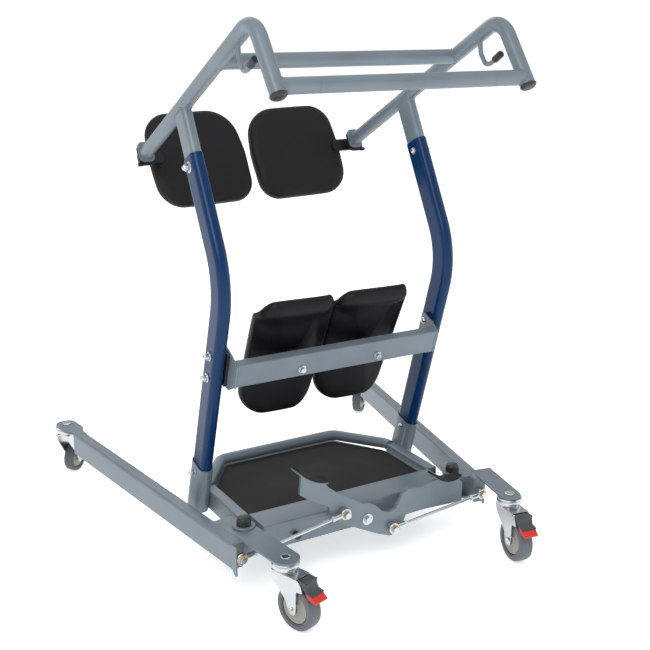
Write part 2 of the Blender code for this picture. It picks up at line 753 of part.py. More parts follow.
def knee_bar():
    carrier = frame_at(
        "knee_bar_frame", ROOT, (0, *KNEE_BAR_ORIGIN), Matrix.Rotation(LOWER_LEAN, 4, "X"))
    back = knee_bolt_back()
    high = KNEE_BAR_HALF_HEIGHT
    bar = box((-BRACKET_INNER - 0.001, BRACKET_INNER + 0.001), (0, KNEE_BAR_DEPTH), (-high, high), 0.003, "x")
    corners = [(-0.012, -0.030), (0.004, -0.046), (back + 0.012, -0.046), (back + 0.012, 0.056), (0.010, 0.056),
               (-0.012, 0.036)]
    outline = rounded_outline(corners, [0.006, 0.006, 0.006, 0.006, 0.006, 0.006])
    pieces = [bar]
    holes = []
    for side in (-1, 1):
        near = -BRACKET_OUTER if side < 0 else BRACKET_INNER
        pieces.append(sheet(outline, BRACKET_OUTER - BRACKET_INNER, "yz", near))
        for up in (-0.018, 0.036):
            holes.append(bore((side * 0.24, back, up), (side * 0.29, back, up), 0.004, BOLT_PLAY, 12))
        x = side * 0.100
        holes.append(bore((x, -0.01, -0.012), (x, 0.04, -0.012), 0.004, BOLT_PLAY, 12))
    piece("knee_bar", cut(union(pieces), holes), GREY_PAINT, carrier)

    inner = -BRACKET_OUTER - SEAT_GAP
    outer = -UPRIGHT_X + UPRIGHT_WIDTH / 2 + SEAT_GAP
    pieces = [box((outer, inner), (back - 0.014, back + 0.012), (-0.040, 0.052), 0.003, "x", 1)]
    for up in (-0.018, 0.036):
        pieces.append(bolt_across(
            -BRACKET_INNER + SEAT_GAP, -UPRIGHT_X - UPRIGHT_WIDTH / 2 - SEAT_GAP, back, up, 0.004, 0.0065, 0.0068))
    pair("knee_mount", union(pieces), ZINC, carrier, carrier)

    stops = [
        (-0.0070, -0.0014, 0.0070, 6),
        (-0.0016, -SEAT_GAP, 0.0095, 20),
        (-0.0060, KNEE_BAR_DEPTH + 0.004, 0.004, 16),
        (KNEE_BAR_DEPTH + SEAT_GAP, KNEE_PAD_FRONT - SEAT_GAP, 0.018, 24),
    ]
    bolt = [rod((-0.100, near, -0.012), (-0.100, far, -0.012), *size) for near, far, *size in stops]
    pair("pad_bolt", union(bolt), ZINC, carrier, carrier)

    low = KNEE_PAD_LOW
    corners = [(-0.094, low), (0.094, low), (0.0958, KNEE_PAD_HIGH), (-0.0958, KNEE_PAD_HIGH)]
    outline = rounded_outline(corners, [0.0615, 0.0615, 0.0315, 0.0315])
    pad = cushion(outline, KNEE_PAD_THICKNESS, knee_pad_bow)
    front = min(vertex.co.y for vertex in pad.data.vertices if vertex.co.z < 0)
    moved(pad, Matrix.Translation((-KNEE_PAD_X, KNEE_PAD_FRONT - front, 0)))
    pair("knee_pad", pad, BLACK_PAD, carrier, carrier)


def knee_pad_bow(x, z):
    """How far the pad's front face lies back of its middle: sides bowed back, top lip rolled forward."""
    lip = max(0.0, (z - KNEE_PAD_HIGH) / KNEE_LIP_HEIGHT + 1)
    return KNEE_PAD_BOW * (x / 0.092) ** 2 - KNEE_LIP_ROLL * lip ** 2


def cushion(outline, thickness, bow, rings=3):
    """A soft pad in the X-Z plane: a grid spread over the outline, bowed, thickened and rounded off."""
    lengths = [0.0]
    closed = [Vector(point) for point in outline + outline[:1]]
    for start, end in zip(closed, closed[1:]):
        lengths.append(lengths[-1] + (end - start).length)

    def along(fraction):
        target = (fraction % 1.0) * lengths[-1]
        index = max(i for i in range(len(closed) - 1) if lengths[i] <= target)
        share = (target - lengths[index]) / (lengths[index + 1] - lengths[index])
        return closed[index].lerp(closed[index + 1], share)

    centre = sum((along(step / 32) for step in range(32)), Vector((0, 0))) / 32
    bm = bmesh.new()
    bmesh.ops.create_grid(bm, x_segments=2 * rings, y_segments=2 * rings, size=1.0)
    for vert in bm.verts:
        u, v = vert.co.x, vert.co.y
        reach = max(abs(u), abs(v))
        if reach < 1e-6:
            place = centre.copy()
        else:
            u /= reach
            v /= reach
            if v <= -0.9999:
                turn = (u + 1) / 8
            elif u >= 0.9999:
                turn = 0.25 + (v + 1) / 8
            elif v >= 0.9999:
                turn = 0.50 + (1 - u) / 8
            else:
                turn = 0.75 + (1 - v) / 8
            place = centre.lerp(along(turn - 0.02), reach ** 0.85)
        vert.co = (place.x, bow(place.x, place.y), place.y)
    pad = from_bmesh(bm)
    thick = pad.modifiers.new("thickness", "SOLIDIFY")
    thick.thickness = thickness
    thick.offset = -1.0
    smooth = pad.modifiers.new("soft", "SUBSURF")
    smooth.levels = 1
    smooth.render_levels = 1
    return to_mesh_object(pad)


# Legs: box tube, pivot plates, front caster arm, rear caster tongue; y runs along the closed leg

def leg(name, side, splay, arm, swivel, front):
    carrier = frame_at(
        f"{name}_pivot", ROOT, (side * PIVOT_X, PIVOT_Y, 0), Matrix.Rotation(-side * splay, 4, "Z"))
    pivot_under = PIVOT_PLATE_TOP - PLATE
    arm_under = ARM_PLATE_TOP - PLATE
    cheek = [
        (-LEG_NOSE + 0.004, LEG_UNDER + 0.002), (-LEG_NOSE + 0.004, BASE_TOP - 0.002),
        (-front, BASE_TOP - 0.002), (-front, LEG_UNDER - 0.008),
        (-front + 0.006, LEG_UNDER - 0.010), (-front + 0.016, LEG_UNDER + 0.002),
    ]
    pieces = [
        box((LEG_INNER, LEG_OUTER), (-LEG_NOSE, LEG_TAIL), (LEG_UNDER, BASE_TOP), 0.003, "y", 1),
        sheet(cheek, 0.0029, "yz", LEG_OUTER - 0.003),
    ]
    for top in (PIVOT_PLATE_TOP, LEG_UNDER + PLATE):
        outline = rounded_outline(
            [(-0.0165, -0.021), (LEG_INNER + 0.006, -0.024), (LEG_INNER + 0.006, 0.062), (-0.0075, 0.062)],
            [0.010, 0, 0, 0.004] if side < 0 else [0.016, 0, 0, 0.016])
        pieces.append(sheet(outline, PLATE, "xy", top - PLATE))
    pieces.append(rod((0, 0, PIVOT_PLATE_TOP - 0.001), (0, 0, PIVOT_PLATE_TOP + 0.005), 0.0175))
    half, start = arm
    outline = rounded_outline(
        [(swivel[0] - half, start), (swivel[0] - half, swivel[1] - half), (swivel[0] + half, swivel[1] - half),
         (swivel[0] + half, start)],
        [0, half * 0.96, half * 0.96, 0])
    pieces.append(sheet(outline, PLATE, "xy", arm_under))
    out, back = REAR_SWIVEL
    outline = rounded_outline(
        [(out - 0.0145, LEG_TAIL - 0.020), (out + 0.0145, LEG_TAIL - 0.020), (out + 0.0145, LEG_TAIL),
         (out + 0.027, LEG_TAIL + 0.03), (out + 0.027, back + 0.027), (out - 0.027, back + 0.027),
         (out - 0.027, LEG_TAIL + 0.03), (out - 0.0145, LEG_TAIL)],
        [0, 0, 0.02, 0.02, 0.025, 0.025, 0.02, 0.02])
    pieces.append(sheet(outline, PLATE, "xy", BASE_TOP - PLATE - 0.0003))
    holes = [
        bore((0, 0, 0.05), (0, 0, 0.2), PIN_RADIUS, RUNNING_GAP),
        bore((*swivel, 0.1), (*swivel, 0.2), 0.006, RUNNING_GAP),
        bore((*REAR_SWIVEL, 0.1), (*REAR_SWIVEL, 0.2), 0.006, RUNNING_GAP),
    ]
    solid = cut(union(pieces), holes)
    if side < 0:
        solid_right = solid
        solid = mirrored(solid_right)
        bpy.data.objects.remove(solid_right, do_unlink=True)
    piece(name, solid, GREY_PAINT, carrier)
    return carrier


# Rocker, its treads and the tie rods

def rocker():
    carrier = frame_at("rocker_pivot", ROOT, (0, 0, ROCKER_HEIGHT))
    outline = [
        (-0.175, 0.101), *band_middle(left_tread_line()[1:-1]), (-0.100, 0.100), (-0.075, 0.080),
        (-0.042, 0.060), (-0.013, 0.041), (0.006, 0.038), (0.025, 0.026), (0.040, 0.010), (0.060, 0.002),
        (0.077, 0.007), (0.089, 0.025), (0.097, 0.041), (0.115, 0.047), (0.152, 0.044), (0.176, 0.050),
        *band_middle(right_tread_line()[1:-1]),
        (0.268, 0.0300), (0.268, -0.018), (0.235, -0.018), (0.161, -0.014), (0.106, -0.015),
        (0.097, -0.037), (0.088, -0.054), (0.062, -0.058), (0.028, -0.044), (-0.034, -0.012), (-0.074, 0.007),
        (-0.095, 0.032), (-0.102, 0.055), (-0.149, 0.082),
    ]
    plate = sheet(outline, ROCKER_THICKNESS, "xz", ROCKER_FRONT)
    pieces = [plate]
    for line in (left_tread_line(), right_tread_line()):
        pieces.append(sheet(band(line, 0.0, TREAD_SHEET), 0.030, "xz", ROCKER_FRONT + 0.0002))
    for side in (-1, 1):
        x = side * ROCKER_STUD[0]
        z = -side * ROCKER_STUD[1]
        pieces.append(rod((x, 0.003, z), (x, ROCKER_FRONT + 0.003, z), ROD_BOLT_RADIUS, 20))
        pieces.append(rod((x, -0.0015, z), (x, 0.0045, z), 0.0078, 6))
        pieces.append(rod((x, 0.0155, z), (x, ROCKER_FRONT + 0.001, z), 0.0078, 6))
    hole = bore((0, 0.0, 0), (0, 0.05, 0), 0.006, RUNNING_GAP)
    piece("rocker", cut(union(pieces), [hole]), GREY_PAINT, carrier)
    for name, line in (("tread_pad_left", left_tread_line()), ("tread_pad_right", right_tread_line())):
        pad = band(line, TREAD_SHEET + SEAT_GAP, TREAD_SHEET + 0.0050)
        piece(name, sheet(pad, 0.0295, "xz", ROCKER_FRONT + 0.0005), MAT_RUBBER, carrier)
    return carrier


def band(places, near, far):
    """A strip between two offsets to the left of a run of points."""
    points = [Vector(place) for place in places]
    lower = []
    upper = []
    for index, point in enumerate(points):
        ahead = points[min(index + 1, len(points) - 1)] - points[max(index - 1, 0)]
        side = Vector((-ahead.y, ahead.x)).normalized()
        lower.append(point + side * near)
        upper.append(point + side * far)
    return [tuple(point) for point in lower + upper[::-1]]


def band_middle(line):
    return [(x, z + TREAD_SHEET / 2) for x, z in line]


def hollow(start, end, depth, steps):
    """Points across a shallow hollow between two rims."""
    points = []
    for step in range(steps + 1):
        share = step / steps
        x = start[0] + (end[0] - start[0]) * share
        z = start[1] + (end[1] - start[1]) * share
        points.append((x, z - depth * math.sin(math.pi * share) ** 0.8))
    return points


def left_tread_line():
    return hollow((-0.180, 0.152), (-0.102, 0.111), 0.010, 8)


def right_tread_line():
    return hollow((0.184, 0.060), (0.268, 0.042), 0.015, 8)


def tie_rod(name, side, carrier, leg_carrier):
    """A rod from the rocker's stud to the leg, hinged at the stud; the outer bolt rides on the rod."""
    stud = Vector((side * ROCKER_STUD[0], ROD_PLANE, -side * ROCKER_STUD[1]))
    bpy.context.view_layer.update()
    eye = leg_carrier.matrix_world @ Vector((side * STUD_OUT, -STUD_AHEAD, STUD_HEIGHT))
    plate = leg_carrier.matrix_world @ Vector((side * STUD_OUT, -LEG_NOSE, STUD_HEIGHT))
    far = eye - carrier.matrix_world.translation - stud
    far.y = eye.y - ROD_PLANE
    tilt = LEFT_ROD_TILT if side < 0 else RIGHT_ROD_TILT
    turn = Matrix.Rotation(tilt, 4, "X")
    hinge = frame_at(f"{name}_pivot", carrier, stud, turn)
    to_hinge = turn.inverted()
    way = far.normalized()
    across = Vector((0, 1, 0))
    pieces = [rod(way * 0.006, far - way * 0.006, 0.0037, 12)]
    for place, sign in ((Vector((0, 0, 0)), 1), (far, -1)):
        inward = way * sign
        pieces.append(rod(place - across * EYE_WIDTH / 2, place + across * EYE_WIDTH / 2, EYE_RADIUS, 16))
        pieces.append(rod(place + inward * 0.0088, place + inward * 0.030, 0.0055, 10))
        pieces.append(rod(place + inward * 0.0290, place + inward * 0.0355, 0.0078, 6))
    reach = plate.y - eye.y - 0.0022
    pieces.append(rod(far - across * 0.008, far + across * reach, ROD_BOLT_RADIUS, 12))
    pieces.append(rod(far - across * 0.0125, far - across * 0.0060, 0.0078, 6))
    pieces.append(rod(far - across * 0.0065, far - across * 0.0035, 0.0090, 14))
    solid = cut(union(pieces), [bore(-across * 0.02, across * 0.02, ROD_BOLT_RADIUS, 0.0004, 12)])
    piece(name, moved(solid, to_hinge), ZINC, hinge)
    return hinge


# Seat paddles: bracket with its hub and back plate, and the cushion

def seat_paddles():
    rear = handle_points()[2]
    carriers = []
    for side, label in ((-1, "left"), (1, "right")):
        carriers.append(frame_at(
            f"seat_{label}_pivot", ROOT, (side * UPRIGHT_X, *rear), Matrix.Rotation(-UPPER_LEAN, 4, "X")))
    back = SEAT_FRONT + SEAT_THICKNESS + SEAT_GAP
    flange = rounded_outline([(-0.017, -0.046), (0.016, -0.046), (0.016, 0.022), (-0.017, 0.022)], [0.007] * 4)
    rear_plate = rounded_outline(
        [(-0.006, -0.022), (0.070, -0.066), (0.205, -0.066), (0.205, 0.066), (0.070, 0.066), (-0.006, 0.018)],
        [0.010, 0.02, 0.02, 0.02, 0.02, 0.010])
    pieces = [
        sheet(flange, 0.004, "xz", SEAT_GAP),
        rod((0, 0.002, 0), (0, back + 0.002, 0), 0.0150),
        sheet(rear_plate, 0.003, "xz", back),
        rod((-0.025, 0.0024, -0.038), (-0.010, 0.0024, -0.038), 0.0045, 12),
    ]
    stub = cut(union(pieces), [
        box((-0.05, 0.05), (-0.02, SEAT_GAP), (-0.08, 0.05)),
        bore((0, -0.01, 0), (0, SEAT_PIN_LENGTH + 0.0006, 0), SEAT_PIN_RADIUS, RUNNING_GAP),
    ])
    pair("paddle_bracket", stub, BLACK_STEEL, *carriers)
    corners = [(0.030, -0.1225), (0.276, -0.1225), (0.2795, 0.000), (0.263, 0.1185), (0.033, 0.1185), (0.0245, 0.0)]
    outline = rounded_outline(corners, [0.066, 0.052, 0.12, 0.085, 0.062, 0.12])
    pad = cushion(outline, SEAT_THICKNESS, lambda x, z: 0.0)
    moved(pad, Matrix.Translation((0, SEAT_FRONT, 0)))
    pair("seat_pad", pad, BLACK_PAD, *carriers)


# Casters

def caster(name, leg_carrier, place, plate_under, turn, wheel, trail, tread, braked):
    """A swivel fork with raceway and riveted stem, a hub and a tyre; the wheel trails towards local -Y."""
    swivel = frame_at(f"{name}_swivel", leg_carrier, (*place, plate_under), turn)
    plate_top = plate_under + PLATE
    top = -SEAT_GAP
    half = tread / 2
    drop = -plate_under
    raceway = turned([
        (0, top), (0.0285, top), (0.0285, top - 0.0040), (0.0268, top - 0.0050), (0.0295, top - 0.0065),
        (0.0295, top - 0.0140), (0.0235, top - 0.0185), (0.0235, top - 0.0215), (0, top - 0.0215),
    ])
    crown_top = top - 0.0210
    inner = half + 0.0030
    outer = inner + 0.0025
    axle_z = drop + wheel
    crown_under = drop + 2 * wheel + (0.004 if braked else 0.020)
    pieces = [
        raceway,
        rod((0, 0, top - 0.001), (0, 0, PLATE + 0.002), 0.006),
        turned([(0.0, PLATE + 0.0030), (0.0095, PLATE + 0.0030), (0.0115, PLATE + 0.0015), (0.0115, PLATE + 0.0003),
                (0.0, PLATE + 0.0003)]),
        box((-outer + 0.0004, outer - 0.0004), (-trail - 0.010, 0.0225), (crown_top - 0.0035, crown_top + 0.0008)),
    ]
    ear = [
        (-trail - 0.024, crown_top - 0.008), (-trail - 0.030, crown_top - 0.024),
        (-trail - 0.012, crown_top - 0.026),
    ]
    if not braked:
        ear = [(-trail - 0.012, crown_top - 0.010)]
    cheek = [
        (0.0240, crown_top), (0.0200, crown_top - 0.018), (-trail + 0.018, axle_z + 0.016),
        (-trail + 0.009, axle_z - 0.011), (-trail - 0.009, axle_z - 0.011), (-trail - 0.010, axle_z + 0.016),
    ] + ear[::-1] + [(-trail - 0.010, crown_top)]
    radii = [0.002, 0.02, 0.02, 0.008, 0.008, 0.02] + [0.003] * len(ear) + [0.002]
    outline = rounded_outline(cheek, radii, math.radians(40))
    for near in (-outer, inner):
        pieces.append(sheet(outline, outer - inner, "yz", near))
    pieces.append(rod((-outer - 0.001, -trail, axle_z), (outer + 0.001, -trail, axle_z), 0.0045, 16))
    for side in (-1, 1):
        pieces.append(rod((side * (outer - 0.0002), -trail, axle_z), (side * (outer + 0.0048), -trail, axle_z), 0.0078, 6))
    if braked:
        pin_y, pin_z = brake_pin(trail, crown_top)
        pieces.append(rod((-outer + 0.001, pin_y, pin_z), (outer - 0.001, pin_y, pin_z), 0.0025, 12))
    piece(f"{name}_fork", union(pieces), ZINC, swivel)
    axle = frame_at(f"{name}_axle", swivel, (0, -trail, axle_z))
    rim = wheel * 0.72
    hole = bore_radius(0.0045, RUNNING_GAP, 16)
    outer_side = [
        (rim, half * 0.84), (rim * 0.90, half * 0.84), (rim * 0.84, half * 0.60), (0.014, half * 0.60),
        (0.011, half * 0.98), (hole, half * 0.98),
    ]
    inner_side = [(radius, -height) for radius, height in outer_side[::-1]]
    hub = turned(outer_side + inner_side + outer_side[:1], "x")
    inside = rim / math.cos(math.pi / 24) + 0.0003
    tyre = turned(
        [(inside, half * 0.86), (wheel * 0.90, half), (wheel * 0.970, half * 0.80), (wheel, half * 0.30),
         (wheel, -half * 0.30), (wheel * 0.970, -half * 0.80), (wheel * 0.90, -half), (inside, -half * 0.86),
         (inside, half * 0.86)],
        "x", (0, 0, 0), 24)
    piece(f"{name}_hub", hub, HUB_GREY, axle)
    piece(f"{name}_tyre", tyre, TYRE_GREY, axle)
    if braked:
        brake(name, swivel, trail, crown_top, inner)


def brake_pin(trail, crown_top):
    return -trail - 0.022, crown_top - 0.0140


def brake(name, swivel, trail, crown_top, inner):
    """A pressed pedal on a cross pin between the cheeks, with a release tab under it."""
    pin_y, pin_z = brake_pin(trail, crown_top)
    carrier = frame_at(f"{name}_brake_pivot", swivel, (0, pin_y, pin_z))
    half = inner - 0.0006
    pedal = union([
        box((-half, half), (-0.008, 0.0065), (-0.0050, 0.0052), 0.002, "x", 1),
        sheet([(-0.0060, 0.0010), (-0.0150, -0.0075), (-0.0300, -0.0110), (-0.0312, -0.0078),
               (-0.0150, -0.0052), (-0.0115, 0.0050), (-0.0115, 0.0110), (-0.0128, 0.0140), (-0.0100, 0.0155),
               (-0.0080, 0.0122), (-0.0050, 0.0138), (0.0060, 0.0145), (0.0062, 0.0030)],
              2 * half, "yz", -half),
    ])
    pedal = cut(pedal, [bore((-0.05, 0, 0), (0.05, 0, 0), 0.0025, RUNNING_GAP, 16)])
    piece(f"{name}_brake_pedal", pedal, BRAKE_GREY, carrier)
    tab = sheet([(-0.0130, -0.0085), (-0.0190, -0.0185), (-0.0400, -0.0240), (-0.0415, -0.0205),
                 (-0.0302, -0.0114), (-0.0152, -0.0078)], 2 * half - 0.002, "yz", -half + 0.001)
    piece(f"{name}_brake_tab", tab, BRAKE_RED, carrier)


def centre_over_footprint():
    """Moves the whole frame so that its origin lies on the floor under the middle of its bounding box."""
    bpy.context.view_layer.update()
    low = Vector((1e9, 1e9, 1e9))
    high = -low
    for obj in PARTS.objects:
        if obj.type != "MESH":
            continue
        for vert in obj.data.vertices:
            place = obj.matrix_world @ vert.co
            low = Vector(map(min, low, place))
            high = Vector(map(max, high, place))
    ROOT.location = (-(low.x + high.x) / 2, -(low.y + high.y) / 2, -low.z)
    bpy.context.view_layer.update()


front_beam()
side_rails()
rear_loop()
platform()
bumpers()
rocker_bolt()
leg_pivots()
uprights()
frame_bolts()
handle_sides()
crossbars()
end_caps()
hook_tips()
knee_bar()
LEFT_LEG = leg("leg_left", -1, LEFT_SPLAY, (0.030, -0.019), LEFT_SWIVEL, LEFT_CHEEK)
RIGHT_LEG = leg("leg_right", 1, RIGHT_SPLAY, (0.025, -0.005), RIGHT_SWIVEL, RIGHT_CHEEK)
ROCKER = rocker()
tie_rod("tie_rod_left", -1, ROCKER, LEFT_LEG)
tie_rod("tie_rod_right", 1, ROCKER, RIGHT_LEG)
seat_paddles()
ARM_UNDER = ARM_PLATE_TOP - PLATE
TONGUE_UNDER = BASE_TOP - PLATE - 0.0003
caster("caster_front_left", LEFT_LEG, (-LEFT_SWIVEL[0], LEFT_SWIVEL[1]), ARM_UNDER,
       Matrix.Rotation(LEFT_FRONT_TURN - LEFT_SPLAY, 4, "Z"), FRONT_WHEEL, FRONT_TRAIL, FRONT_TREAD, True)
caster("caster_front_right", RIGHT_LEG, RIGHT_SWIVEL, ARM_UNDER,
       Matrix.Rotation(RIGHT_FRONT_TURN + RIGHT_SPLAY, 4, "Z"), FRONT_WHEEL, FRONT_TRAIL, FRONT_TREAD, True)
caster("caster_rear_left", LEFT_LEG, (-REAR_SWIVEL[0], REAR_SWIVEL[1]), TONGUE_UNDER,
       Matrix.Rotation(REAR_TURN + math.pi - LEFT_SPLAY, 4, "Z"), REAR_WHEEL, REAR_TRAIL, REAR_TREAD, False)
caster("caster_rear_right", RIGHT_LEG, REAR_SWIVEL, TONGUE_UNDER,
       Matrix.Rotation(REAR_TURN + math.pi + RIGHT_SPLAY, 4, "Z"), REAR_WHEEL, REAR_TRAIL, REAR_TREAD, False)
centre_over_footprint()
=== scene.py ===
import json
import math

import bmesh
import bpy
from mathutils import Matrix, Vector

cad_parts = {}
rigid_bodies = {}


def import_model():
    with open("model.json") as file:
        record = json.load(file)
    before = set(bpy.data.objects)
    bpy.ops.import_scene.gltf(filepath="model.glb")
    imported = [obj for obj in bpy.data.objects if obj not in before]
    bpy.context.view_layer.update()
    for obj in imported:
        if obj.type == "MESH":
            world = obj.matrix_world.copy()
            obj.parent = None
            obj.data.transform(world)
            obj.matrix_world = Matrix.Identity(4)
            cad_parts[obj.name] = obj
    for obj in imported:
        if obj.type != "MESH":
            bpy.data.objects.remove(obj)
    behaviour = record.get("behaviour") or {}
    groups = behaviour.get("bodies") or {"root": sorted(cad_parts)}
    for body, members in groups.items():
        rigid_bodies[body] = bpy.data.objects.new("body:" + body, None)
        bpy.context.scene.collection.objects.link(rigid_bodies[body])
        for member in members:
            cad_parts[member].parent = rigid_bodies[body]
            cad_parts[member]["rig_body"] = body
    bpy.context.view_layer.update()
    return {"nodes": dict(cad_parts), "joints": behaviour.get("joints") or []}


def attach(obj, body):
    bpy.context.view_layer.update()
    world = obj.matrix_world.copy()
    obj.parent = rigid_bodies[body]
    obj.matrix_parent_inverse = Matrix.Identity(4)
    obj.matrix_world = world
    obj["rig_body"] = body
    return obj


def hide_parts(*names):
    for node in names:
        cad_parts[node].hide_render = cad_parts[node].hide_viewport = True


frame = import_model()
nodes = frame["nodes"]
joints = {joint["name"]: joint for joint in frame["joints"]}

# Sizes are measured from the floor under the rocker's joint; base carries them into the frame.
middle_x, front_y = joints["rocker_tilt"]["pos_m"][:2]
base = Matrix.Translation((middle_x, front_y, 0.0))


# Studio
# A white sweep that glows a little from below, with one broad soft light above
# the front left, a weaker one from the right and one from behind.

scene = bpy.context.scene
scene.view_settings.view_transform = "Standard"
scene.view_settings.look = "None"

camera_dip, camera_turn = 16.245, -30.313
view = bpy.data.cameras.new("photograph_view")
view.sensor_width = 36.0
view.lens = 58.42
view.clip_end = 60.0
camera = bpy.data.objects.new("photograph_view", view)
camera.location = base @ Vector((-1.1822, -1.8092, 1.2127))
camera.rotation_euler = (math.radians(90.0 - camera_dip), 0.0, math.radians(camera_turn))
scene.collection.objects.link(camera)
scene.camera = camera

world = bpy.data.worlds.new("studio")
world.use_nodes = True
sky = world.node_tree.nodes["Background"]
outlook = world.node_tree.nodes.new("ShaderNodeTexCoord")
height = world.node_tree.nodes.new("ShaderNodeSeparateXYZ")
ramp = world.node_tree.nodes.new("ShaderNodeValToRGB")
bands = ramp.color_ramp.elements
bands[0].position = 0.0
bands[1].position = 1.0
for position, tone in ((0.0, 1.0), (0.16, 1.0), (0.34, 0.46), (0.62, 0.50), (0.84, 0.98), (1.0, 1.0)):
    band = bands.new(position) if 0.0 < position < 1.0 else bands[0 if position == 0.0 else -1]
    band.color = (tone * 0.985, tone * 0.995, tone, 1.0)
world.node_tree.links.new(outlook.outputs["Generated"], height.inputs[0])
world.node_tree.links.new(height.outputs["Z"], ramp.inputs[0])
world.node_tree.links.new(ramp.outputs["Color"], sky.inputs["Color"])
sky.inputs["Strength"].default_value = 1.05
scene.world = world


def soft_light(name, place, target, size, power):
    lamp = bpy.data.lights.new(name, "AREA")
    lamp.shape = "RECTANGLE"
    lamp.size, lamp.size_y = size
    lamp.energy = power
    lit = bpy.data.objects.new(name, lamp)
    lit.location = base @ Vector(place)
    toward = base @ Vector(target) - lit.location
    lit.rotation_euler = toward.to_track_quat("-Z", "Y").to_euler()
    scene.collection.objects.link(lit)


soft_light("key", (-2.2, -1.6, 2.9), (0.0, 0.1, 0.5), (1.8, 1.8), 46.0)
soft_light("fill", (2.6, -1.4, 1.6), (0.0, 0.1, 0.6), (1.2, 2.4), 12.0)
soft_light("back", (0.6, 3.0, 2.6), (0.0, 0.1, 0.7), (2.4, 1.2), 20.0)

floor_mesh = bpy.data.meshes.new("floor")
bm = bmesh.new()
bmesh.ops.create_grid(bm, x_segments=1, y_segments=1, size=14.0)
bm.to_mesh(floor_mesh)
bm.free()
floor = bpy.data.objects.new("floor", floor_mesh)
scene.collection.objects.link(floor)
floor_paint = bpy.data.materials.new("floor_white")
floor_paint.use_nodes = True
sweep = floor_paint.node_tree.nodes["Principled BSDF"].inputs
sweep["Base Color"].default_value = (0.96, 0.96, 0.96, 1.0)
sweep["Roughness"].default_value = 0.9
sweep["Emission Color"].default_value = (1.0, 1.0, 1.0, 1.0)
sweep["Emission Strength"].default_value = 0.50
floor_mesh.materials.append(floor_paint)


# Base frame
# Folded and welded steel: the front beam with its keel, the side rails with the
# sockets of the uprights and the platform plate, all sprayed a satin blue-grey.

def coat(name, colour, rough, metal, peel=0.10, drift=0.10, grain=520.0, edge=0.0008, shine=0.5):
    """Sprayed or plated finish: tone drifts over the part, a fine peel breaks the gloss, edges are eased."""
    material = bpy.data.materials.new(name)
    material.use_nodes = True
    tree = material.node_tree
    shader = tree.nodes["Principled BSDF"]
    shader.inputs["Metallic"].default_value = metal
    shader.inputs["Specular IOR Level"].default_value = shine
    place = tree.nodes.new("ShaderNodeTexCoord")
    drifts = tree.nodes.new("ShaderNodeTexNoise")
    drifts.inputs["Scale"].default_value = 9.0
    drifts.inputs["Detail"].default_value = 5.0
    tree.links.new(place.outputs["Object"], drifts.inputs["Vector"])
    tones = tree.nodes.new("ShaderNodeValToRGB")
    tones.color_ramp.elements[0].position = 0.30
    tones.color_ramp.elements[0].color = (*[part * (1.0 - drift) for part in colour], 1.0)
    tones.color_ramp.elements[1].position = 0.70
    tones.color_ramp.elements[1].color = (*[min(1.0, part * (1.0 + drift)) for part in colour], 1.0)
    tree.links.new(drifts.outputs["Fac"], tones.inputs["Fac"])
    tree.links.new(tones.outputs["Color"], shader.inputs["Base Color"])
    gloss = tree.nodes.new("ShaderNodeMapRange")
    gloss.inputs["From Min"].default_value = 0.3
    gloss.inputs["From Max"].default_value = 0.7
    gloss.inputs["To Min"].default_value = rough * 0.86
    gloss.inputs["To Max"].default_value = rough * 1.14
    tree.links.new(drifts.outputs["Fac"], gloss.inputs["Value"])
    tree.links.new(gloss.outputs["Result"], shader.inputs["Roughness"])
    fine = tree.nodes.new("ShaderNodeTexNoise")
    fine.inputs["Scale"].default_value = grain
    fine.inputs["Detail"].default_value = 2.0
    tree.links.new(place.outputs["Object"], fine.inputs["Vector"])
    bump = tree.nodes.new("ShaderNodeBump")
    bump.inputs["Strength"].default_value = peel
    bump.inputs["Distance"].default_value = 0.0004
    tree.links.new(fine.outputs["Fac"], bump.inputs["Height"])
    tree.links.new(bump.outputs["Normal"], shader.inputs["Normal"])
    if edge:
        eased = tree.nodes.new("ShaderNodeBevel")
        eased.samples = 4
        eased.inputs["Radius"].default_value = edge
        tree.links.new(eased.outputs["Normal"], bump.inputs["Normal"])
    return material


grey_coat = coat("grey_powder_coat", (0.158, 0.196, 0.228), 0.38, 0.18, shine=0.45)


def body_of(node):
    return nodes[node]["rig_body"]


def shown(piece, finish, node=None, body=None):
    """Gives a piece its coat and its body, and hides the CAD node that it stands for."""
    piece.data.materials.clear()
    piece.data.materials.append(finish)
    scene.collection.objects.link(piece)
    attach(piece, body or body_of(node))
    if node:
        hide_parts(node)


def evenly_shaded(piece, angle=34.0):
    piece.data.shade_smooth()
    piece.data.set_sharp_from_angle(angle=math.radians(angle))
    even = piece.modifiers.new("even_shading", "WEIGHTED_NORMAL")
    even.keep_sharp = True
    return piece


def merged_copy(node):
    """A CAD node's loose triangles joined again, with its flat faces whole."""
    bm = bmesh.new()
    bm.from_mesh(nodes[node].data)
    bmesh.ops.remove_doubles(bm, verts=bm.verts, dist=0.00001)
    bmesh.ops.dissolve_limit(bm, angle_limit=math.radians(0.5), verts=bm.verts, edges=bm.edges)
    return bm


def refinished(node, ending, finish, bm=None):
    """A merged copy of a CAD node, smooth where it is round, coated and put in the node's place."""
    name = f"{node}_{ending}"
    mesh = bpy.data.meshes.new(name)
    bm = bm or merged_copy(node)
    bmesh.ops.triangulate(bm, faces=[face for face in bm.faces if len(face.verts) > 4])
    bm.to_mesh(mesh)
    bm.free()
    shown(evenly_shaded(bpy.data.objects.new(name, mesh)), finish, node)


for node in ("front_beam", "side_rail_left", "side_rail_right", "platform_plate"):
    refinished(node, "coated", grey_coat)


# Handles and crossbars
# Round steel tube bent at the peak, with two crossbar stubs, the wire hook, the
# oval tongue and the seat flange welded on; the crossbars butt against the stubs.

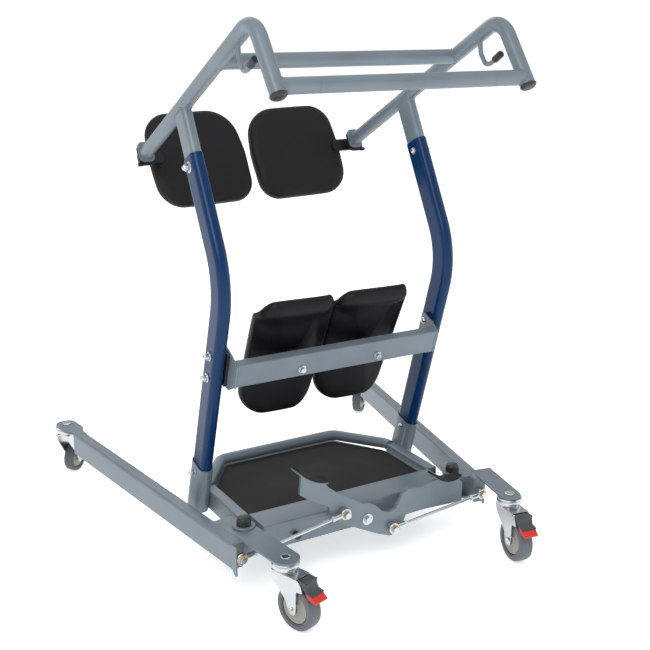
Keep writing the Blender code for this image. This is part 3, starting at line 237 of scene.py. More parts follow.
sides = {"left": -1, "right": 1}
upright_x = 0.288
knee_point = (0.139, 0.677)
upper_lean = math.radians(28.1)
upper_length = 0.398
peak_ahead, tube_back, pin_back = 0.394, 0.258, 0.276
peak_bend = 0.050
nose_fall = math.radians(54.5)
nose_length = 0.1634
handle_radius = 0.016
stub_radius = handle_radius * 0.998
tongue_size = (0.0256, 0.0556, 0.0118)
tongue_low = 0.2
tongue_weld, stub_weld = 0.0021, 0.0016
seam_x, seam_gap = 0.203, 0.0003
bar_from_nose, bar_from_peak = 0.018, 0.178
hook_offsets = (
    (0.036, -0.030), (0.067, -0.049), (0.062, -0.076), (0.044, -0.0975), (0.027, -0.094), (-0.003, -0.075))
hook_bends = (0.012, 0.014, 0.012, 0.010)
hook_radius = 0.005


def up_upper(distance, back=0.0):
    """A point (y, z) up the upper run of an upright, moved back along the handle by back."""
    y, z = knee_point
    return (
        y + distance * math.sin(upper_lean) + back * math.cos(upper_lean),
        z + distance * math.cos(upper_lean) - back * math.sin(upper_lean),
    )


def bent(points, radii, step=math.radians(4)):
    """Straight runs with an arc of the given radius at each inner corner."""
    points = [Vector(point) for point in points]
    path = [points[0]]
    for before, corner, after, radius in zip(points, points[1:], points[2:], radii):
        arriving = (corner - before).normalized()
        leaving = (after - corner).normalized()
        turn = arriving.angle(leaving)
        inset = radius * math.tan(turn / 2)
        inward = (leaving - arriving * math.cos(turn)) / math.sin(turn)
        steps = max(2, math.ceil(turn / step))
        for count in range(steps + 1):
            angle = turn * count / steps
            along = arriving * (radius * math.sin(angle) - inset)
            path.append(corner + along + inward * radius * (1 - math.cos(angle)))
    path.append(points[-1])
    return path


def rounded(corners, radii, step=math.radians(10)):
    """A closed outline with each corner rounded to its radius."""
    outline = []
    count = len(corners)
    for index, radius in enumerate(radii):
        before, corner, after = (corners[(index + shift) % count] for shift in (-1, 0, 1))
        arc = bent([(*before, 0), (*corner, 0), (*after, 0)], [radius], step)[1:-1]
        outline.extend((point.x, point.y) for point in arc)
    return outline


def circle_section(radius, steps=36):
    angles = [math.tau * count / steps for count in range(steps)]
    return [(radius * math.cos(angle), radius * math.sin(angle)) for angle in angles]


def oval_section(width, depth, corner):
    x, y = width / 2, depth / 2
    return rounded([(-x, -y), (x, -y), (x, y), (-x, y)], [corner] * 4)


def next_ring(bm, edges, move):
    """A ring of edges extruded and moved; gives back the new ring's edges."""
    made = bmesh.ops.extrude_edge_only(bm, edges=edges)["geom"]
    verts = {item for item in made if isinstance(item, bmesh.types.BMVert)}
    bmesh.ops.transform(bm, matrix=move, verts=list(verts))
    return [item for item in made if isinstance(item, bmesh.types.BMEdge) and set(item.verts) <= verts]


def swept(path, section, swell=None):
    """A section carried along a path, square to it, and closed at both ends."""
    path = [Vector(place) for place in path]
    last = len(path) - 1
    ways = [(path[min(n + 1, last)] - path[max(n - 1, 0)]).normalized() for n in range(last + 1)]
    turn = ways[0].to_track_quat("Z", "Y")
    spots = []
    for index, place in enumerate(path):
        if index:
            turn = ways[index - 1].rotation_difference(ways[index]) @ turn
        size = swell(index / last) if swell else 1.0
        grown = Matrix.Diagonal((size, size, size, 1))
        spots.append(Matrix.Translation(place) @ turn.to_matrix().to_4x4() @ grown)
    bm = bmesh.new()
    bm.faces.new([bm.verts.new(spots[0] @ Vector((x, y, 0))) for x, y in section])
    edges = list(bm.edges)
    for before, after in zip(spots, spots[1:]):
        edges = next_ring(bm, edges, after @ before.inverted())
    bmesh.ops.contextual_create(bm, geom=edges)
    return bm


def weld(loop, radius):
    """A bead of weld laid round a joint, with the ripples of its passes."""
    path = [Vector(place) for place in loop]
    path.append(path[0] + (path[1] - path[0]) * 0.5)
    ripples = len(path) * 2.4
    return swept(path, circle_section(radius, 10), lambda share: 1.0 + 0.16 * math.sin(share * ripples))


def set_at(shape, move):
    shape.transform(move)
    return shape


def made_of(name, *shapes, space=base, angle=34.0):
    """One piece from closed shapes, in its place; faces point outwards and the shading is even."""
    whole = bmesh.new()
    for shape in shapes:
        shape.transform(space)
        bmesh.ops.recalc_face_normals(shape, faces=shape.faces)
        part = bpy.data.meshes.new("part")
        shape.to_mesh(part)
        shape.free()
        whole.from_mesh(part)
        bpy.data.meshes.remove(part)
    mesh = bpy.data.meshes.new(name)
    whole.to_mesh(mesh)
    whole.free()
    return evenly_shaded(bpy.data.objects.new(name, mesh), angle)


peak = up_upper(upper_length, -peak_ahead)
nose = (peak[0] - nose_length * math.cos(nose_fall), peak[1] - nose_length * math.sin(nose_fall))
seat_pin = up_upper(upper_length, pin_back)
crossbars = {
    "front": (nose[0] + bar_from_nose * math.cos(nose_fall), nose[1] + bar_from_nose * math.sin(nose_fall)),
    "rear": (peak[0] + bar_from_peak * math.cos(upper_lean), peak[1] - bar_from_peak * math.sin(upper_lean)),
}
tube_leans = {"front": nose_fall, "rear": -upper_lean}
flange_outline = rounded(
    [(-0.0185, 0.027), (0.0185, 0.027), (0.0185, -0.022), (-0.0185, -0.022)], [0.012] * 4)


def pin_place(side, start=Matrix.Identity(4)):
    """The place of a seat half's pin, with Y back along the handle."""
    return start @ Matrix.Translation((side * upright_x, *seat_pin)) @ Matrix.Rotation(-upper_lean, 4, "X")


def tongue_weld_loop(x):
    loop = []
    for across, back in oval_section(tongue_size[0] + 0.001, tongue_size[1] + 0.001, tongue_size[2]):
        drop = math.sqrt(handle_radius ** 2 - across ** 2)
        loop.append((x + across, *up_upper(upper_length - drop, back)))
    return loop


def stub_weld_loop(x, side, key, steps=48):
    (y, z), lean = crossbars[key], tube_leans[key]
    loop = []
    for count in range(steps):
        angle = math.tau * count / steps
        along, across = handle_radius * math.cos(angle), handle_radius * math.sin(angle)
        loop.append((
            x - side * abs(along) * 1.02,
            y + along * math.cos(lean) - across * math.sin(lean),
            z + along * math.sin(lean) + across * math.cos(lean),
        ))
    return loop


for label, side in sides.items():
    x = side * upright_x
    run = bent([(x, *nose), (x, *peak), (x, *up_upper(upper_length, tube_back))], [peak_bend])
    tube = swept(run, circle_section(handle_radius))
    stubs = [
        swept([(x, y, z), (side * seam_x, y, z)], circle_section(stub_radius)) for y, z in crossbars.values()
    ]
    tongue = swept([(x, *up_upper(tongue_low)), (x, *up_upper(upper_length))], oval_section(*tongue_size))
    flange = swept([(0, 0, -0.0228), (0, 0, -0.018)], flange_outline)
    set_at(flange, pin_place(side) @ Matrix.Rotation(-math.pi / 2, 4, "X"))
    wire = bent([(x, peak[0] + back, peak[1] + up) for back, up in hook_offsets], hook_bends)
    hook = swept(wire, circle_section(hook_radius, 20))
    welds = [weld(tongue_weld_loop(x), tongue_weld)]
    welds += [weld(stub_weld_loop(x, side, key), stub_weld) for key in crossbars]
    node = f"handle_side_{label}"
    handle = made_of(f"{node}_tube", tube, *stubs, tongue, flange, hook, *welds)
    shown(handle, grey_coat, node)

for key, (y, z) in crossbars.items():
    reach = seam_x - seam_gap
    bar = swept([(-reach, y, z), (reach, y, z)], circle_section(handle_radius))
    shown(made_of(f"crossbar_{key}_tube", bar), grey_coat, f"crossbar_{key}")


# Plugs and hook tips
# Black plastic: a domed plug pressed into each handle's nose and a sleeve
# drawn over the end of each hook.

black_moulded = coat("black_moulded", (0.014, 0.014, 0.015), 0.40, 0.0, peel=0.10, drift=0.15, grain=900.0)
plug_profile = [
    (0, 0.0070), (0.0085, 0.0068), (0.0128, 0.0060), (0.0158, 0.0040), (0.0174, 0.0018), (0.0176, 0.0003),
    (0, 0.0003),
]
sleeve_profile = [
    (0, -0.022), (0.0062, -0.022), (0.0074, -0.0212), (0.0077, -0.018), (0.0077, 0.0005), (0.0070, 0.0030),
    (0.0050, 0.0040), (0, 0.0042),
]


def turned(profile, steps=48):
    """A solid of revolution about Z from (radius, height) pairs; a ring's profile ends where it starts."""
    bm = bmesh.new()
    ring = profile[0] == profile[-1]
    verts = [bm.verts.new((radius, 0, height)) for radius, height in (profile[:-1] if ring else profile)]
    edges = [bm.edges.new(pair) for pair in zip(verts, verts[1:])]
    if ring:
        edges.append(bm.edges.new((verts[-1], verts[0])))
    bmesh.ops.spin(
        bm, geom=verts + edges, cent=(0, 0, 0), axis=(0, 0, 1), dvec=(0, 0, 0),
        angle=math.tau, steps=steps, use_merge=True)
    bmesh.ops.remove_doubles(bm, verts=bm.verts, dist=0.000001)
    return bm


def along_axis(place, toward):
    return Matrix.Translation(place) @ Vector(toward).to_track_quat("Z", "Y").to_matrix().to_4x4()


for label, side in sides.items():
    x = side * upright_x
    plug = turned(plug_profile)
    set_at(plug, Matrix.Translation((x, *nose)) @ Matrix.Rotation(math.pi / 2 + nose_fall, 4, "X"))
    node = f"end_cap_{label}"
    shown(made_of(f"{node}_plug", plug), black_moulded, node)
    bend, tip = (Vector((x, peak[0] + back, peak[1] + up)) for back, up in hook_offsets[-2:])
    sleeve = set_at(turned(sleeve_profile, 32), along_axis(tip, (tip - bend).normalized()))
    node = f"hook_tip_{label}"
    shown(made_of(f"{node}_sleeve", sleeve), black_moulded, node)


# Uprights
# Flat-oval steel tube bent once at the knee and sprayed a glossy navy, with a
# clean cut rim at the top where the grey tongue slides in.

navy_coat = coat(
    "navy_gloss_coat", (0.002, 0.027, 0.092), 0.22, 0.0, peel=0.04, drift=0.05, edge=0.0, shine=0.20)
lower_lean = math.radians(17.35)
lower_length, rim_height = 0.578, 0.2865
knee_bend = 0.190


def down_lower(distance):
    """A point (y, z) down the lower run of an upright."""
    y, z = knee_point
    return y + distance * math.sin(lower_lean), z - distance * math.cos(lower_lean)


for label, side in sides.items():
    x = side * upright_x
    corners = [(x, *down_lower(lower_length)), (x, *knee_point), (x, *up_upper(rim_height))]
    run = bent(corners, [knee_bend], math.radians(1.2))
    node = f"upright_{label}"
    tube = made_of(f"{node}_tube", swept(run, oval_section(0.030, 0.060, 0.014)))
    shown(tube, navy_coat, node)


# Rear loop
# Round steel tube bent behind the heels, its ends welded to the side rails and
# sprayed with them.

loop_height = 0.1385
loop_radius = 0.0135
half_loop = [(0.2555, 0.3155), (0.2555, 0.333), (0.165, 0.4555)]
corners = [(-x, y, loop_height) for x, y in half_loop] + [(x, y, loop_height) for x, y in half_loop[::-1]]
loop = swept(bent(corners, [0.020, 0.035, 0.035, 0.020]), circle_section(loop_radius, 28))
shown(made_of("rear_loop_tube", loop), grey_coat, "rear_loop")


# Bolts
# Zinc-plated hexagon bolts, washers and acorn nuts clamp the uprights to their
# sockets, to the handles and to the brackets of the knee bar.

zinc_plate = coat(
    "zinc_plate", (0.56, 0.58, 0.60), 0.22, 1.0, peel=0.12, drift=0.08, grain=700.0, edge=0.0004)
button_radius = 0.0065
socket_reach, tube_reach = 0.0183, 0.0153


def disc(radius, low, high, steps=40, ease=0.0004):
    return turned([
        (0, high), (radius - ease, high), (radius, high - ease), (radius, low + ease), (radius - ease, low),
        (0, low),
    ], steps)


def hexagon(radius, low, high):
    """A hexagon head with the turned chamfer on both ends."""
    bm = bmesh.new()
    bmesh.ops.create_cone(bm, cap_ends=True, segments=6, radius1=radius, radius2=radius, depth=high - low)
    bmesh.ops.translate(bm, vec=(0, 0, (high + low) / 2), verts=bm.verts)
    bmesh.ops.bevel(
        bm, geom=list(bm.edges), offset=radius * 0.08, segments=2, profile=0.5, affect="EDGES", material=-1)
    return bm


def dome(radius, low, high):
    rise = high - low
    angles = [math.radians(angle) for angle in range(0, 91, 10)]
    arc = [(radius * math.sin(angle), low + rise * math.cos(angle)) for angle in angles]
    arc[0] = (0, high)
    return turned(arc + [(0, low)], 32)


def cross_bolt(side, inner, outer, y, z, head, nut):
    """A bolt along X: button head on the inner side, washer and acorn nut on the outer side."""
    out = along_axis((side * outer, y, z), (side, 0, 0))
    back = along_axis((side * inner, y, z), (-side, 0, 0))
    return [
        set_at(disc(nut * 1.34, 0.0, 0.0018), out),
        set_at(hexagon(nut * 1.08, 0.0016, 0.0088), out),
        set_at(dome(nut * 0.86, 0.0080, 0.0165), out),
        set_at(disc(head * 1.25, 0.0, 0.0012), back),
        set_at(dome(head, 0.0008, 0.0058), back),
    ]


socket_place = down_lower(0.4966)
tongue_place = up_upper(0.263)
for label, side in sides.items():
    bolt = cross_bolt(
        side, upright_x - socket_reach, upright_x + socket_reach, *socket_place, button_radius, 0.0068)
    shown(made_of(f"socket_bolt_{label}_plated", *bolt), zinc_plate, f"socket_bolt_{label}")
    bolt = cross_bolt(
        side, upright_x - tube_reach, upright_x + tube_reach, *tongue_place, button_radius, 0.0082)
    out = along_axis((side * (upright_x + tube_reach), *tongue_place), (side, 0, 0))
    bolt.append(set_at(disc(0.0125, -0.0001, 0.0012), out))
    shown(made_of(f"handle_bolt_{label}_plated", *bolt), zinc_plate, f"handle_bolt_{label}")


# Knee bar
# Rectangular tube with a plate welded to each end, drawn to its upright by two
# bolts through a spacer block; a hexagon bolt and a black spacer carry each pad.

bar_y, bar_z = 0.140, 0.471
knee_space = base @ Matrix.Translation((0, bar_y, bar_z)) @ Matrix.Rotation(lower_lean, 4, "X")
bolt_back = (
    (knee_point[0] - bar_y) * math.cos(lower_lean) + (knee_point[1] - bar_z) * math.sin(lower_lean) - 0.002)
bolt_heights = (-0.0335, 0.0225)
bar_end, bar_weld = 0.2625, 0.0021
plate_outer = 0.2665
block_outer = upright_x - 0.0152
pad_bolt_x, pad_bolt_z, spacer_z = 0.100, -0.011, -0.012
bar_outline = rounded([(0.0, -0.031), (0.025, -0.031), (0.025, 0.0265), (0.0, 0.0265)], [0.003] * 4)
plate_back, block_front = bolt_back + 0.012, bolt_back - 0.026
plate_outline = rounded(
    [(0.001, -0.030), (0.0236, -0.0515), (plate_back, -0.0515), (plate_back, 0.042), (0.030, 0.036),
     (0.001, 0.0255)],
    [0.002, 0.005, 0.005, 0.006, 0.010, 0.002])
block_outline = rounded(
    [(block_front, -0.048), (plate_back, -0.048), (plate_back, 0.038), (block_front, 0.036)], [0.003] * 4)


def verts_in(made):
    return [item for item in made if isinstance(item, bmesh.types.BMVert)]


def carried(outline, axis, start, end):
    """An outline in two directions carried along the third: axis 0 is X and axis 1 is Y."""
    bm = bmesh.new()
    face = bm.faces.new([bm.verts.new((*spot[:axis], start, *spot[axis:])) for spot in outline])
    made = bmesh.ops.extrude_face_region(bm, geom=[face])["geom"]
    way = Vector((0, 0, 0))
    way[axis] = end - start
    bmesh.ops.translate(bm, vec=way, verts=verts_in(made))
    return bm


def bar_weld_loop(side):
    edge = [Vector((side * (bar_end - 0.0003), y, z)) for y, z in bar_outline]
    loop = []
    for start, end in zip(edge, edge[1:] + edge[:1]):
        steps = max(1, round((end - start).length / 0.0025))
        loop += [start.lerp(end, count / steps) for count in range(steps)]
    return loop


knee_parts = [carried(bar_outline, 0, -bar_end - 0.001, bar_end + 0.001)]
for side in sides.values():
    knee_parts.append(carried(plate_outline, 0, side * bar_end, side * plate_outer))
    knee_parts.append(weld(bar_weld_loop(side), bar_weld))
shown(made_of("knee_bar_tube", *knee_parts, space=knee_space), grey_coat, "knee_bar")

for label, side in sides.items():
    node = f"knee_mount_{label}"
    block = carried(block_outline, 0, side * (plate_outer + 0.0002), side * block_outer)
    block = made_of(f"{node}_block", block, space=knee_space)
    shown(block, black_moulded, body=body_of(node))
    parts = []
    for up in bolt_heights:
        parts += cross_bolt(
            side, bar_end - 0.0003, upright_x + tube_reach, bolt_back, up, button_radius, 0.0078)
    shown(made_of(f"{node}_bolts", *parts, space=knee_space), zinc_plate, node)

    node = f"pad_bolt_{label}"
    front = along_axis((side * pad_bolt_x, -0.0003, pad_bolt_z), (0, -1, 0))
    head = [set_at(disc(0.0098, 0.0, 0.0018), front), set_at(hexagon(0.0070, 0.0016, 0.0088), front)]
    shown(made_of(f"{node}_plated", *head, space=knee_space), zinc_plate, node)
    back = along_axis((side * pad_bolt_x, 0, spacer_z), (0, 1, 0))
    spacer = set_at(disc(0.018, 0.0253, 0.0597, ease=0.001), back)
    spacer = made_of(f"pad_spacer_{label}", spacer, space=knee_space)
    shown(spacer, black_moulded, body=body_of(node))


# Legs
# Rectangular tube closed at the nose, with pivot plates, the arm of the front
# caster and the tongue of the rear one; a fold line runs below the top edge.

pivot_x, pivot_y = 0.282, 0.081
splays = {"left": math.radians(7.2), "right": math.radians(-11.7)}
leg_space = {
    label: base @ Matrix.Translation((side * pivot_x, pivot_y, 0)) @ Matrix.Rotation(splays[label], 4, "Z")
    for label, side in sides.items()
}
fold_low, fold_high, fold_depth = 0.1402, 0.1413, 0.0012
smallest_fold = 0.0002
for label, side in sides.items():
    node = f"leg_{label}"
    bm = merged_copy(node)
    outward = (leg_space[label].to_3x3() @ Vector((side, 0, 0))).normalized()
    for cut in (fold_low, fold_high):
        whole = bm.verts[:] + bm.edges[:] + bm.faces[:]
        bmesh.ops.bisect_plane(bm, geom=whole, plane_co=(0, 0, cut), plane_no=(0, 0, 1))
    fold = [
        face for face in bm.faces
        if face.normal.dot(outward) > 0.99
        and fold_low < face.calc_center_median().z < fold_high
        and face.calc_area() > smallest_fold
    ]
    made = bmesh.ops.extrude_face_region(bm, geom=fold)["geom"]
    bmesh.ops.delete(bm, geom=fold, context="FACES_ONLY")
    bmesh.ops.translate(bm, vec=outward * -fold_depth, verts=verts_in(made))
    refinished(node, "coated", grey_coat, bm)


# Leg pivots
# A black moulded cap covers each pivot pin and a button its lower end, with a
# painted washer on the leg under the cap.

cap_foot = 0.1518
cap_profile = [
    (0, 0.0190), (0.0085, 0.0188), (0.0130, 0.0177), (0.0152, 0.0152), (0.0160, 0.0115), (0.0163, 0.0012),
    (0.0166, 0.0), (0, 0.0),
]
washer_profile = [
    (0.0100, 0.0002), (0.0240, 0.0002), (0.0250, -0.0008), (0.0250, -0.0032), (0.0100, -0.0032),
    (0.0100, 0.0002),
]
for label, side in sides.items():
    node = f"leg_pivot_{label}"
    place = Matrix.Translation((side * pivot_x, pivot_y, cap_foot))
    cap = set_at(turned(cap_profile), place)
    button = set_at(disc(0.013, -0.0738, -0.0671), place)
    shown(made_of(f"{node}_cap", cap, button), black_moulded, node)
    washer = set_at(turned(washer_profile), place)
    shown(made_of(f"{node}_washer", washer), grey_coat, body=body_of(f"leg_{label}"))


# Platform mat
# A ribbed sheet of black rubber with a gritty top, cut to the platform and
# glued to its plate.

grip_mat = coat("grip_mat", (0.021, 0.019, 0.019), 0.80, 0.0, peel=0.9, drift=0.18, grain=700.0, shine=0.25)
refinished("platform_mat", "grip", grip_mat)


# Rocker
# A laser-cut steel plate on one bolt, with a curved tread welded to each end
# and a strip of rubber in it; the attendant steps on it to part the legs.

rocker_z = 0.119
refinished("rocker", "coated", grey_coat)
for label in sides:
    refinished(f"tread_pad_{label}", "moulded", grip_mat)
front = along_axis((0, 0.0217, rocker_z), (0, -1, 0))
bolt = [set_at(disc(0.0138, 0.0, 0.0020, 48), front), set_at(hexagon(0.0088, 0.0016, 0.0088), front)]
shown(made_of("rocker_bolt_plated", *bolt), zinc_plate, "rocker_bolt")


# Tie rods
# Threaded rods with a jam nut and a ball eye at each end, which push the legs
# apart as the rocker tilts; the balls run in brass-coloured liners.

brass = coat("brass_liner", (0.56, 0.36, 0.16), 0.34, 0.85, drift=0.10, edge=0.0003)
stud_x, stud_y, stud_drop = 0.065, 0.0105, 0.034
rod_radius, rod_inset = 0.0039, 0.012
eye_profile = [
    (0.0100, -0.0046), (0.0124, -0.0046), (0.0134, -0.0034), (0.0134, 0.0034), (0.0124, 0.0046),
    (0.0100, 0.0046), (0.0100, -0.0046),
]
liner_profile = [
    (0.0056, -0.0056), (0.0099, -0.0042), (0.0099, 0.0042), (0.0056, 0.0056), (0.0056, -0.0056),
]
unmoved = Matrix.Identity(4)
for label, side in sides.items():
    node = f"tie_rod_{label}"
    stud = base @ Vector((side * stud_x, stud_y, rocker_z - side * stud_drop))
    eye = leg_space[label] @ Vector((side * 0.049, -0.065, 0.113))
    way = (eye - stud).normalized()
    ahead = Vector((0, -1, 0))
    parts = [swept([stud + way * rod_inset, eye - way * rod_inset], circle_section(rod_radius, 20))]
    liners = []
    for place, inward in ((stud, way), (eye, -way)):
        parts += [
            set_at(turned(eye_profile), along_axis(place, ahead)),
            set_at(disc(0.0060, 0.0120, 0.0310, 24), along_axis(place, inward)),
            set_at(hexagon(0.0076, 0.0300, 0.0362), along_axis(place, inward)),
        ]
        liners.append(set_at(turned(liner_profile), along_axis(place, ahead)))
    out = along_axis(eye, ahead)
    parts += [
        set_at(disc(0.0052, -0.0120, 0.0060, 24), out),
        set_at(hexagon(0.0076, 0.0050, 0.0112), out),
    ]
    shown(made_of(f"{node}_plated", *parts, space=unmoved), zinc_plate, node)
    shown(made_of(f"{node}_liners", *liners, space=unmoved), brass, body=body_of(node))
    out = along_axis(stud, ahead)
    bolt = [
        set_at(hexagon(0.0082, 0.0052, 0.0140), out),
        set_at(hexagon(0.0082, -0.0118, -0.0049), out),
    ]
    bolt = made_of(f"rocker_stud_{label}_plated", *bolt, space=unmoved)
    shown(bolt, zinc_plate, body=body_of("rocker"))


# Black fittings
# Rubber bumpers on the beam, and the brackets of the seat halves: a foot against
# each handle's flange, a hub on the pin, an arm onto the pad and a plate behind it.

black_steel = coat("black_steel_coat", (0.012, 0.012, 0.014), 0.42, 0.2, shine=0.35)
foot_outline = rounded([(-0.020, -0.029), (0.020, -0.029), (0.020, 0.023), (-0.020, 0.023)], [0.012] * 4)
arm_outline = rounded([(-0.012, -0.017), (0.052, -0.017), (0.052, 0.013), (-0.012, 0.013)], [0.010] * 4)
back_outline = rounded([(0.045, -0.050), (0.190, -0.050), (0.190, 0.050), (0.045, 0.050)], [0.020] * 4)
for label, side in sides.items():
    refinished(f"bumper_{label}", "moulded", black_moulded)
    bracket = [
        carried(foot_outline, 1, -0.0178, -0.0138),
        set_at(disc(0.0130, -0.0145, 0.0110, ease=0.001), along_axis((0, 0, 0), (0, 1, 0))),
        carried([(-side * x, z) for x, z in arm_outline], 1, 0.0060, 0.0128),
        set_at(disc(0.0045, 0.012, 0.024, 20), along_axis((0, -0.0160, -0.026), (side, 0, 0))),
        carried([(-side * x, z) for x, z in back_outline], 1, 0.0493, 0.0523),
    ]
    node = f"paddle_bracket_{label}"
    bracket = made_of(f"{node}_coated", *bracket, space=pin_place(side, base))
    shown(bracket, black_steel, node)


# Casters
# A pressed zinc fork under a ball raceway, a grey moulded wheel with a soft
# tyre, and on the front pair a pedal brake with a red release tab.

tyre_rubber = coat("tyre_rubber", (0.092, 0.106, 0.126), 0.46, 0.0, peel=0.10, drift=0.08, edge=0.0)
dark_tyre = coat("dark_tyre_rubber", (0.060, 0.068, 0.078), 0.46, 0.0, peel=0.10, drift=0.08, edge=0.0)
hub_plastic = coat("hub_plastic", (0.265, 0.250, 0.225), 0.45, 0.0, peel=0.08, drift=0.08, edge=0.0)
# Painted shade: a near-black colour for the hub's recessed groove, standing in for the shadow that falls
# into it.
groove_shadow = coat("hub_groove_painted_shade", (0.030, 0.028, 0.026), 0.60, 0.0, edge=0.0)
brake_plastic = coat("brake_plastic", (0.052, 0.060, 0.064), 0.50, 0.0)
brake_red = coat("brake_red", (0.56, 0.030, 0.016), 0.40, 0.0, shine=0.3)
wheels = {"front": (0.050, 0.016, tyre_rubber), "rear": (0.0375, 0.013, dark_tyre)}
rim_share, shoulder_share = 0.735, 0.87
groove_inner, groove_outer = 0.900, 0.945


def tyre_profile(radius, half):
    rim, shoulder = radius * rim_share, radius * shoulder_share
    arc = []
    for angle in range(0, 181, 9):
        turn = math.radians(angle)
        lift = abs(math.sin(turn)) ** 0.62 * (radius - shoulder)
        reach = math.copysign(abs(math.cos(turn)) ** 0.50 * half, math.cos(turn))
        arc.append((shoulder + lift, reach))
    start = [(rim, half * 0.86), (rim + 0.0008, half * 0.97)]
    ring = start + arc + [(radius, -height) for radius, height in start[::-1]]
    return ring + ring[:1]


def hub_profile(radius, half):
    rim = radius * rim_share
    face = [
        (rim, half * 0.82), (rim - 0.0006, half * 0.87), (rim * 0.955, half * 0.87),
        (rim * 0.935, half * 0.70), (rim * 0.905, half * 0.70), (rim * 0.885, half * 0.84),
        (rim * 0.42, half * 0.80), (rim * 0.37, half * 0.94), (rim * 0.34, half * 0.98),
        (0.0047, half * 0.98),
    ]
    ring = face + [(radius, -height) for radius, height in face[::-1]]
    return ring + ring[:1]


for end, (radius, half, rubber) in wheels.items():
    for label in sides:
        roll = joints[f"roll_{end}_{label}"]
        place = along_axis(Vector(roll["pos_m"]), roll["axis"])
        caster = f"caster_{end}_{label}"
        tyre = made_of(f"{caster}_tyre_rubber", turned(tyre_profile(radius, half), 72), space=place)
        shown(tyre, rubber, f"{caster}_tyre")
        hub = made_of(f"{caster}_hub_moulded", turned(hub_profile(radius, half), 72), space=place)
        shown(hub, hub_plastic, f"{caster}_hub")
        # The faces in the ring of the hub's groove get the painted shade as their second material.
        hub.data.materials.append(groove_shadow)
        for face in hub.data.polygons:
            spot = place.inverted() @ face.center
            from_axle = math.hypot(spot.x, spot.y)
            if radius * rim_share * groove_inner < from_axle < radius * rim_share * groove_outer:
                face.material_index = 1
        refinished(f"{caster}_fork", "plated", zinc_plate)
        if end == "front":
            refinished(f"{caster}_brake_pedal", "moulded", brake_plastic)
            refinished(f"{caster}_brake_tab", "moulded", brake_red)


# Seat halves
# Moulded foam paddles with a flat matt face, a rolled rim about 14 mm wide and
# thick rounded sides, each held between its bracket's arm and back plate.

pad_skin = coat(
    "pad_skin", (0.0095, 0.0085, 0.0095), 0.62, 0.0, peel=0.35, drift=0.12, grain=1100.0, edge=0.0,
    shine=0.22)
seat_corners = [
    (0.030, -0.1225), (0.276, -0.1225), (0.2795, 0.000), (0.263, 0.1185), (0.033, 0.1185), (0.0245, 0.0),
]
seat_radii = [0.066, 0.052, 0.12, 0.080, 0.062, 0.12]
seat_layers = [
    (0.25, 0.0008), (0.50, 0.0006), (0.72, 0.0003), (0.855, 0.0), (0.880, 0.0004), (0.925, 0.0030),
    (0.972, 0.0068), (0.993, 0.0115), (1.0, 0.0180), (0.998, 0.0260), (0.980, 0.0318), (0.935, 0.0350),
    (0.860, 0.0360), (0.50, 0.0360), (0.25, 0.0360),
]
seat_middle, seat_turn, seat_face = 0.155, 0.028, 0.013


def foam(outline, layers):
    """A closed pad: the outline carried through layers of (scale, depth), with domed middles."""
    centre = sum((Vector(point) for point in outline), Vector((0, 0))) / len(outline)
    middle = Matrix.Translation((*centre, 0))
    bm = bmesh.new()
    scale, depth = layers[0]
    ring = [bm.verts.new((*(centre + (Vector(point) - centre) * scale), depth)) for point in outline]
    caps = [bm.faces.new(ring)]
    edges = list(bm.edges)
    for (before, low), (after, high) in zip(layers, layers[1:]):
        grow = middle @ Matrix.Diagonal((after / before, after / before, 1, 1)) @ middle.inverted()
        edges = next_ring(bm, edges, Matrix.Translation((0, 0, high - low)) @ grow)
    caps += bmesh.ops.contextual_create(bm, geom=edges)["faces"]
    bmesh.ops.poke(bm, faces=caps)
    return bm


def upholstered(node, pad, space, skin):
    """The foam that stands for a node: smooth all over and subdivided."""
    cushion = made_of(f"{node}_foam", pad, space=space, angle=180.0)
    cushion.modifiers.clear()
    soft = cushion.modifiers.new("soft", "SUBSURF")
    soft.levels = soft.render_levels = 2
    shown(cushion, skin, node)


def upright_pad(x, y):
    """Stands a pad that was drawn flat on its edge, with its face towards the attendant."""
    return Matrix(((1, 0, 0, x), (0, 0, 1, y), (0, 1, 0, 0), (0, 0, 0, 1)))


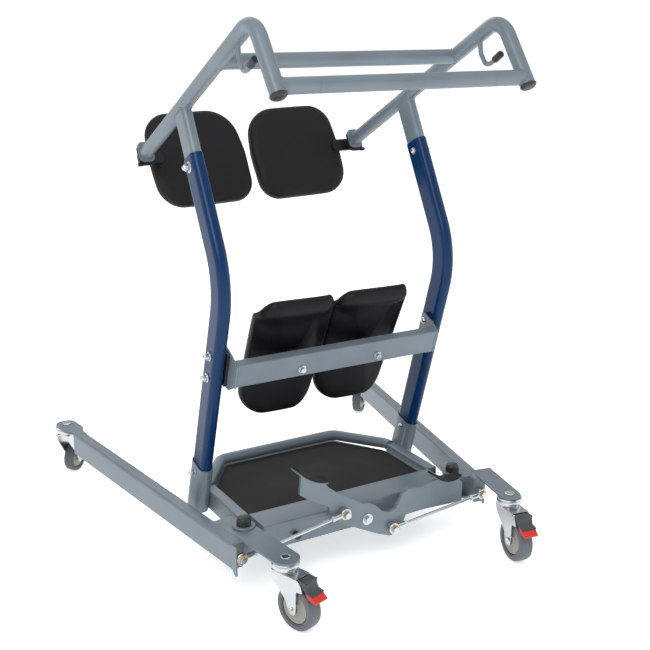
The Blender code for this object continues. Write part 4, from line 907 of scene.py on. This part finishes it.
for label, side in sides.items():
    outline = [(-side * x, z) for x, z in rounded(seat_corners, seat_radii)]
    middle = Matrix.Translation((-side * seat_middle, 0, 0))
    pad = set_at(foam(outline, seat_layers), middle @ Matrix.Rotation(seat_turn, 4, "Z") @ middle.inverted())
    space = pin_place(side, base) @ upright_pad(0, seat_face)
    upholstered(f"seat_pad_{label}", pad, space, pad_skin)


# Knee pads
# Moulded foam, bowed round the shins, with the top edge rolled forward into a
# thick lip; each hangs on its spacer behind the bar.

knee_skin = coat(
    "knee_pad_skin", (0.0048, 0.0048, 0.0060), 0.46, 0.0, peel=0.22, drift=0.10, grain=1100.0, edge=0.0,
    shine=0.22)
pad_low, pad_high = -0.1815, 0.1215
knee_corners = [(-0.094, pad_low), (0.097, pad_low - 0.001), (0.0965, pad_high), (-0.0955, pad_high)]
knee_radii = [0.0615, 0.052, 0.024, 0.034]
knee_layers = [
    (0.20, 0.0), (0.40, 0.0), (0.58, 0.0), (0.72, 0.0), (0.83, 0.0002), (0.90, 0.0012), (0.955, 0.0045),
    (0.988, 0.0100), (1.0, 0.0170), (0.988, 0.0240), (0.955, 0.0295), (0.90, 0.0328), (0.83, 0.0338),
    (0.72, 0.0340), (0.50, 0.0340), (0.20, 0.0340),
]
lip_height, lip_rise, lip_roll = 0.050, 0.034, 0.028
ear_half, ear_start, ear_span = 0.095, 0.55, 1.45
ear_lift, ear_height = 0.002, 0.0125
bow_half, bow_depth = 0.092, 0.0227
pad_x, pad_face = 0.0993, 0.060
bolt_spot = Matrix.Translation((0, -0.012, 0))
pad_turn = bolt_spot @ Matrix.Rotation(math.radians(-2.0), 4, "Z") @ Matrix.Translation((0, 0.012, 0))
for label, side in sides.items():
    pad = foam(rounded(knee_corners, knee_radii), knee_layers)
    for vert in pad.verts:
        high = max(0.0, vert.co.y / pad_high) ** 2
        ear = math.cos(math.tau * (vert.co.x / ear_half + ear_start) / ear_span)
        vert.co.y += high * (ear_lift + ear_height * ear)
        lip = min(1.0, max(0.0, (vert.co.y - pad_high + lip_height) / lip_rise))
        vert.co.z += bow_depth * (vert.co.x / bow_half) ** 2 - lip_roll * lip ** 2 * (3 - 2 * lip)
    pad.transform(pad_turn)
    space = knee_space @ upright_pad(side * pad_x, pad_face)
    upholstered(f"knee_pad_{label}", pad, space, knee_skin)
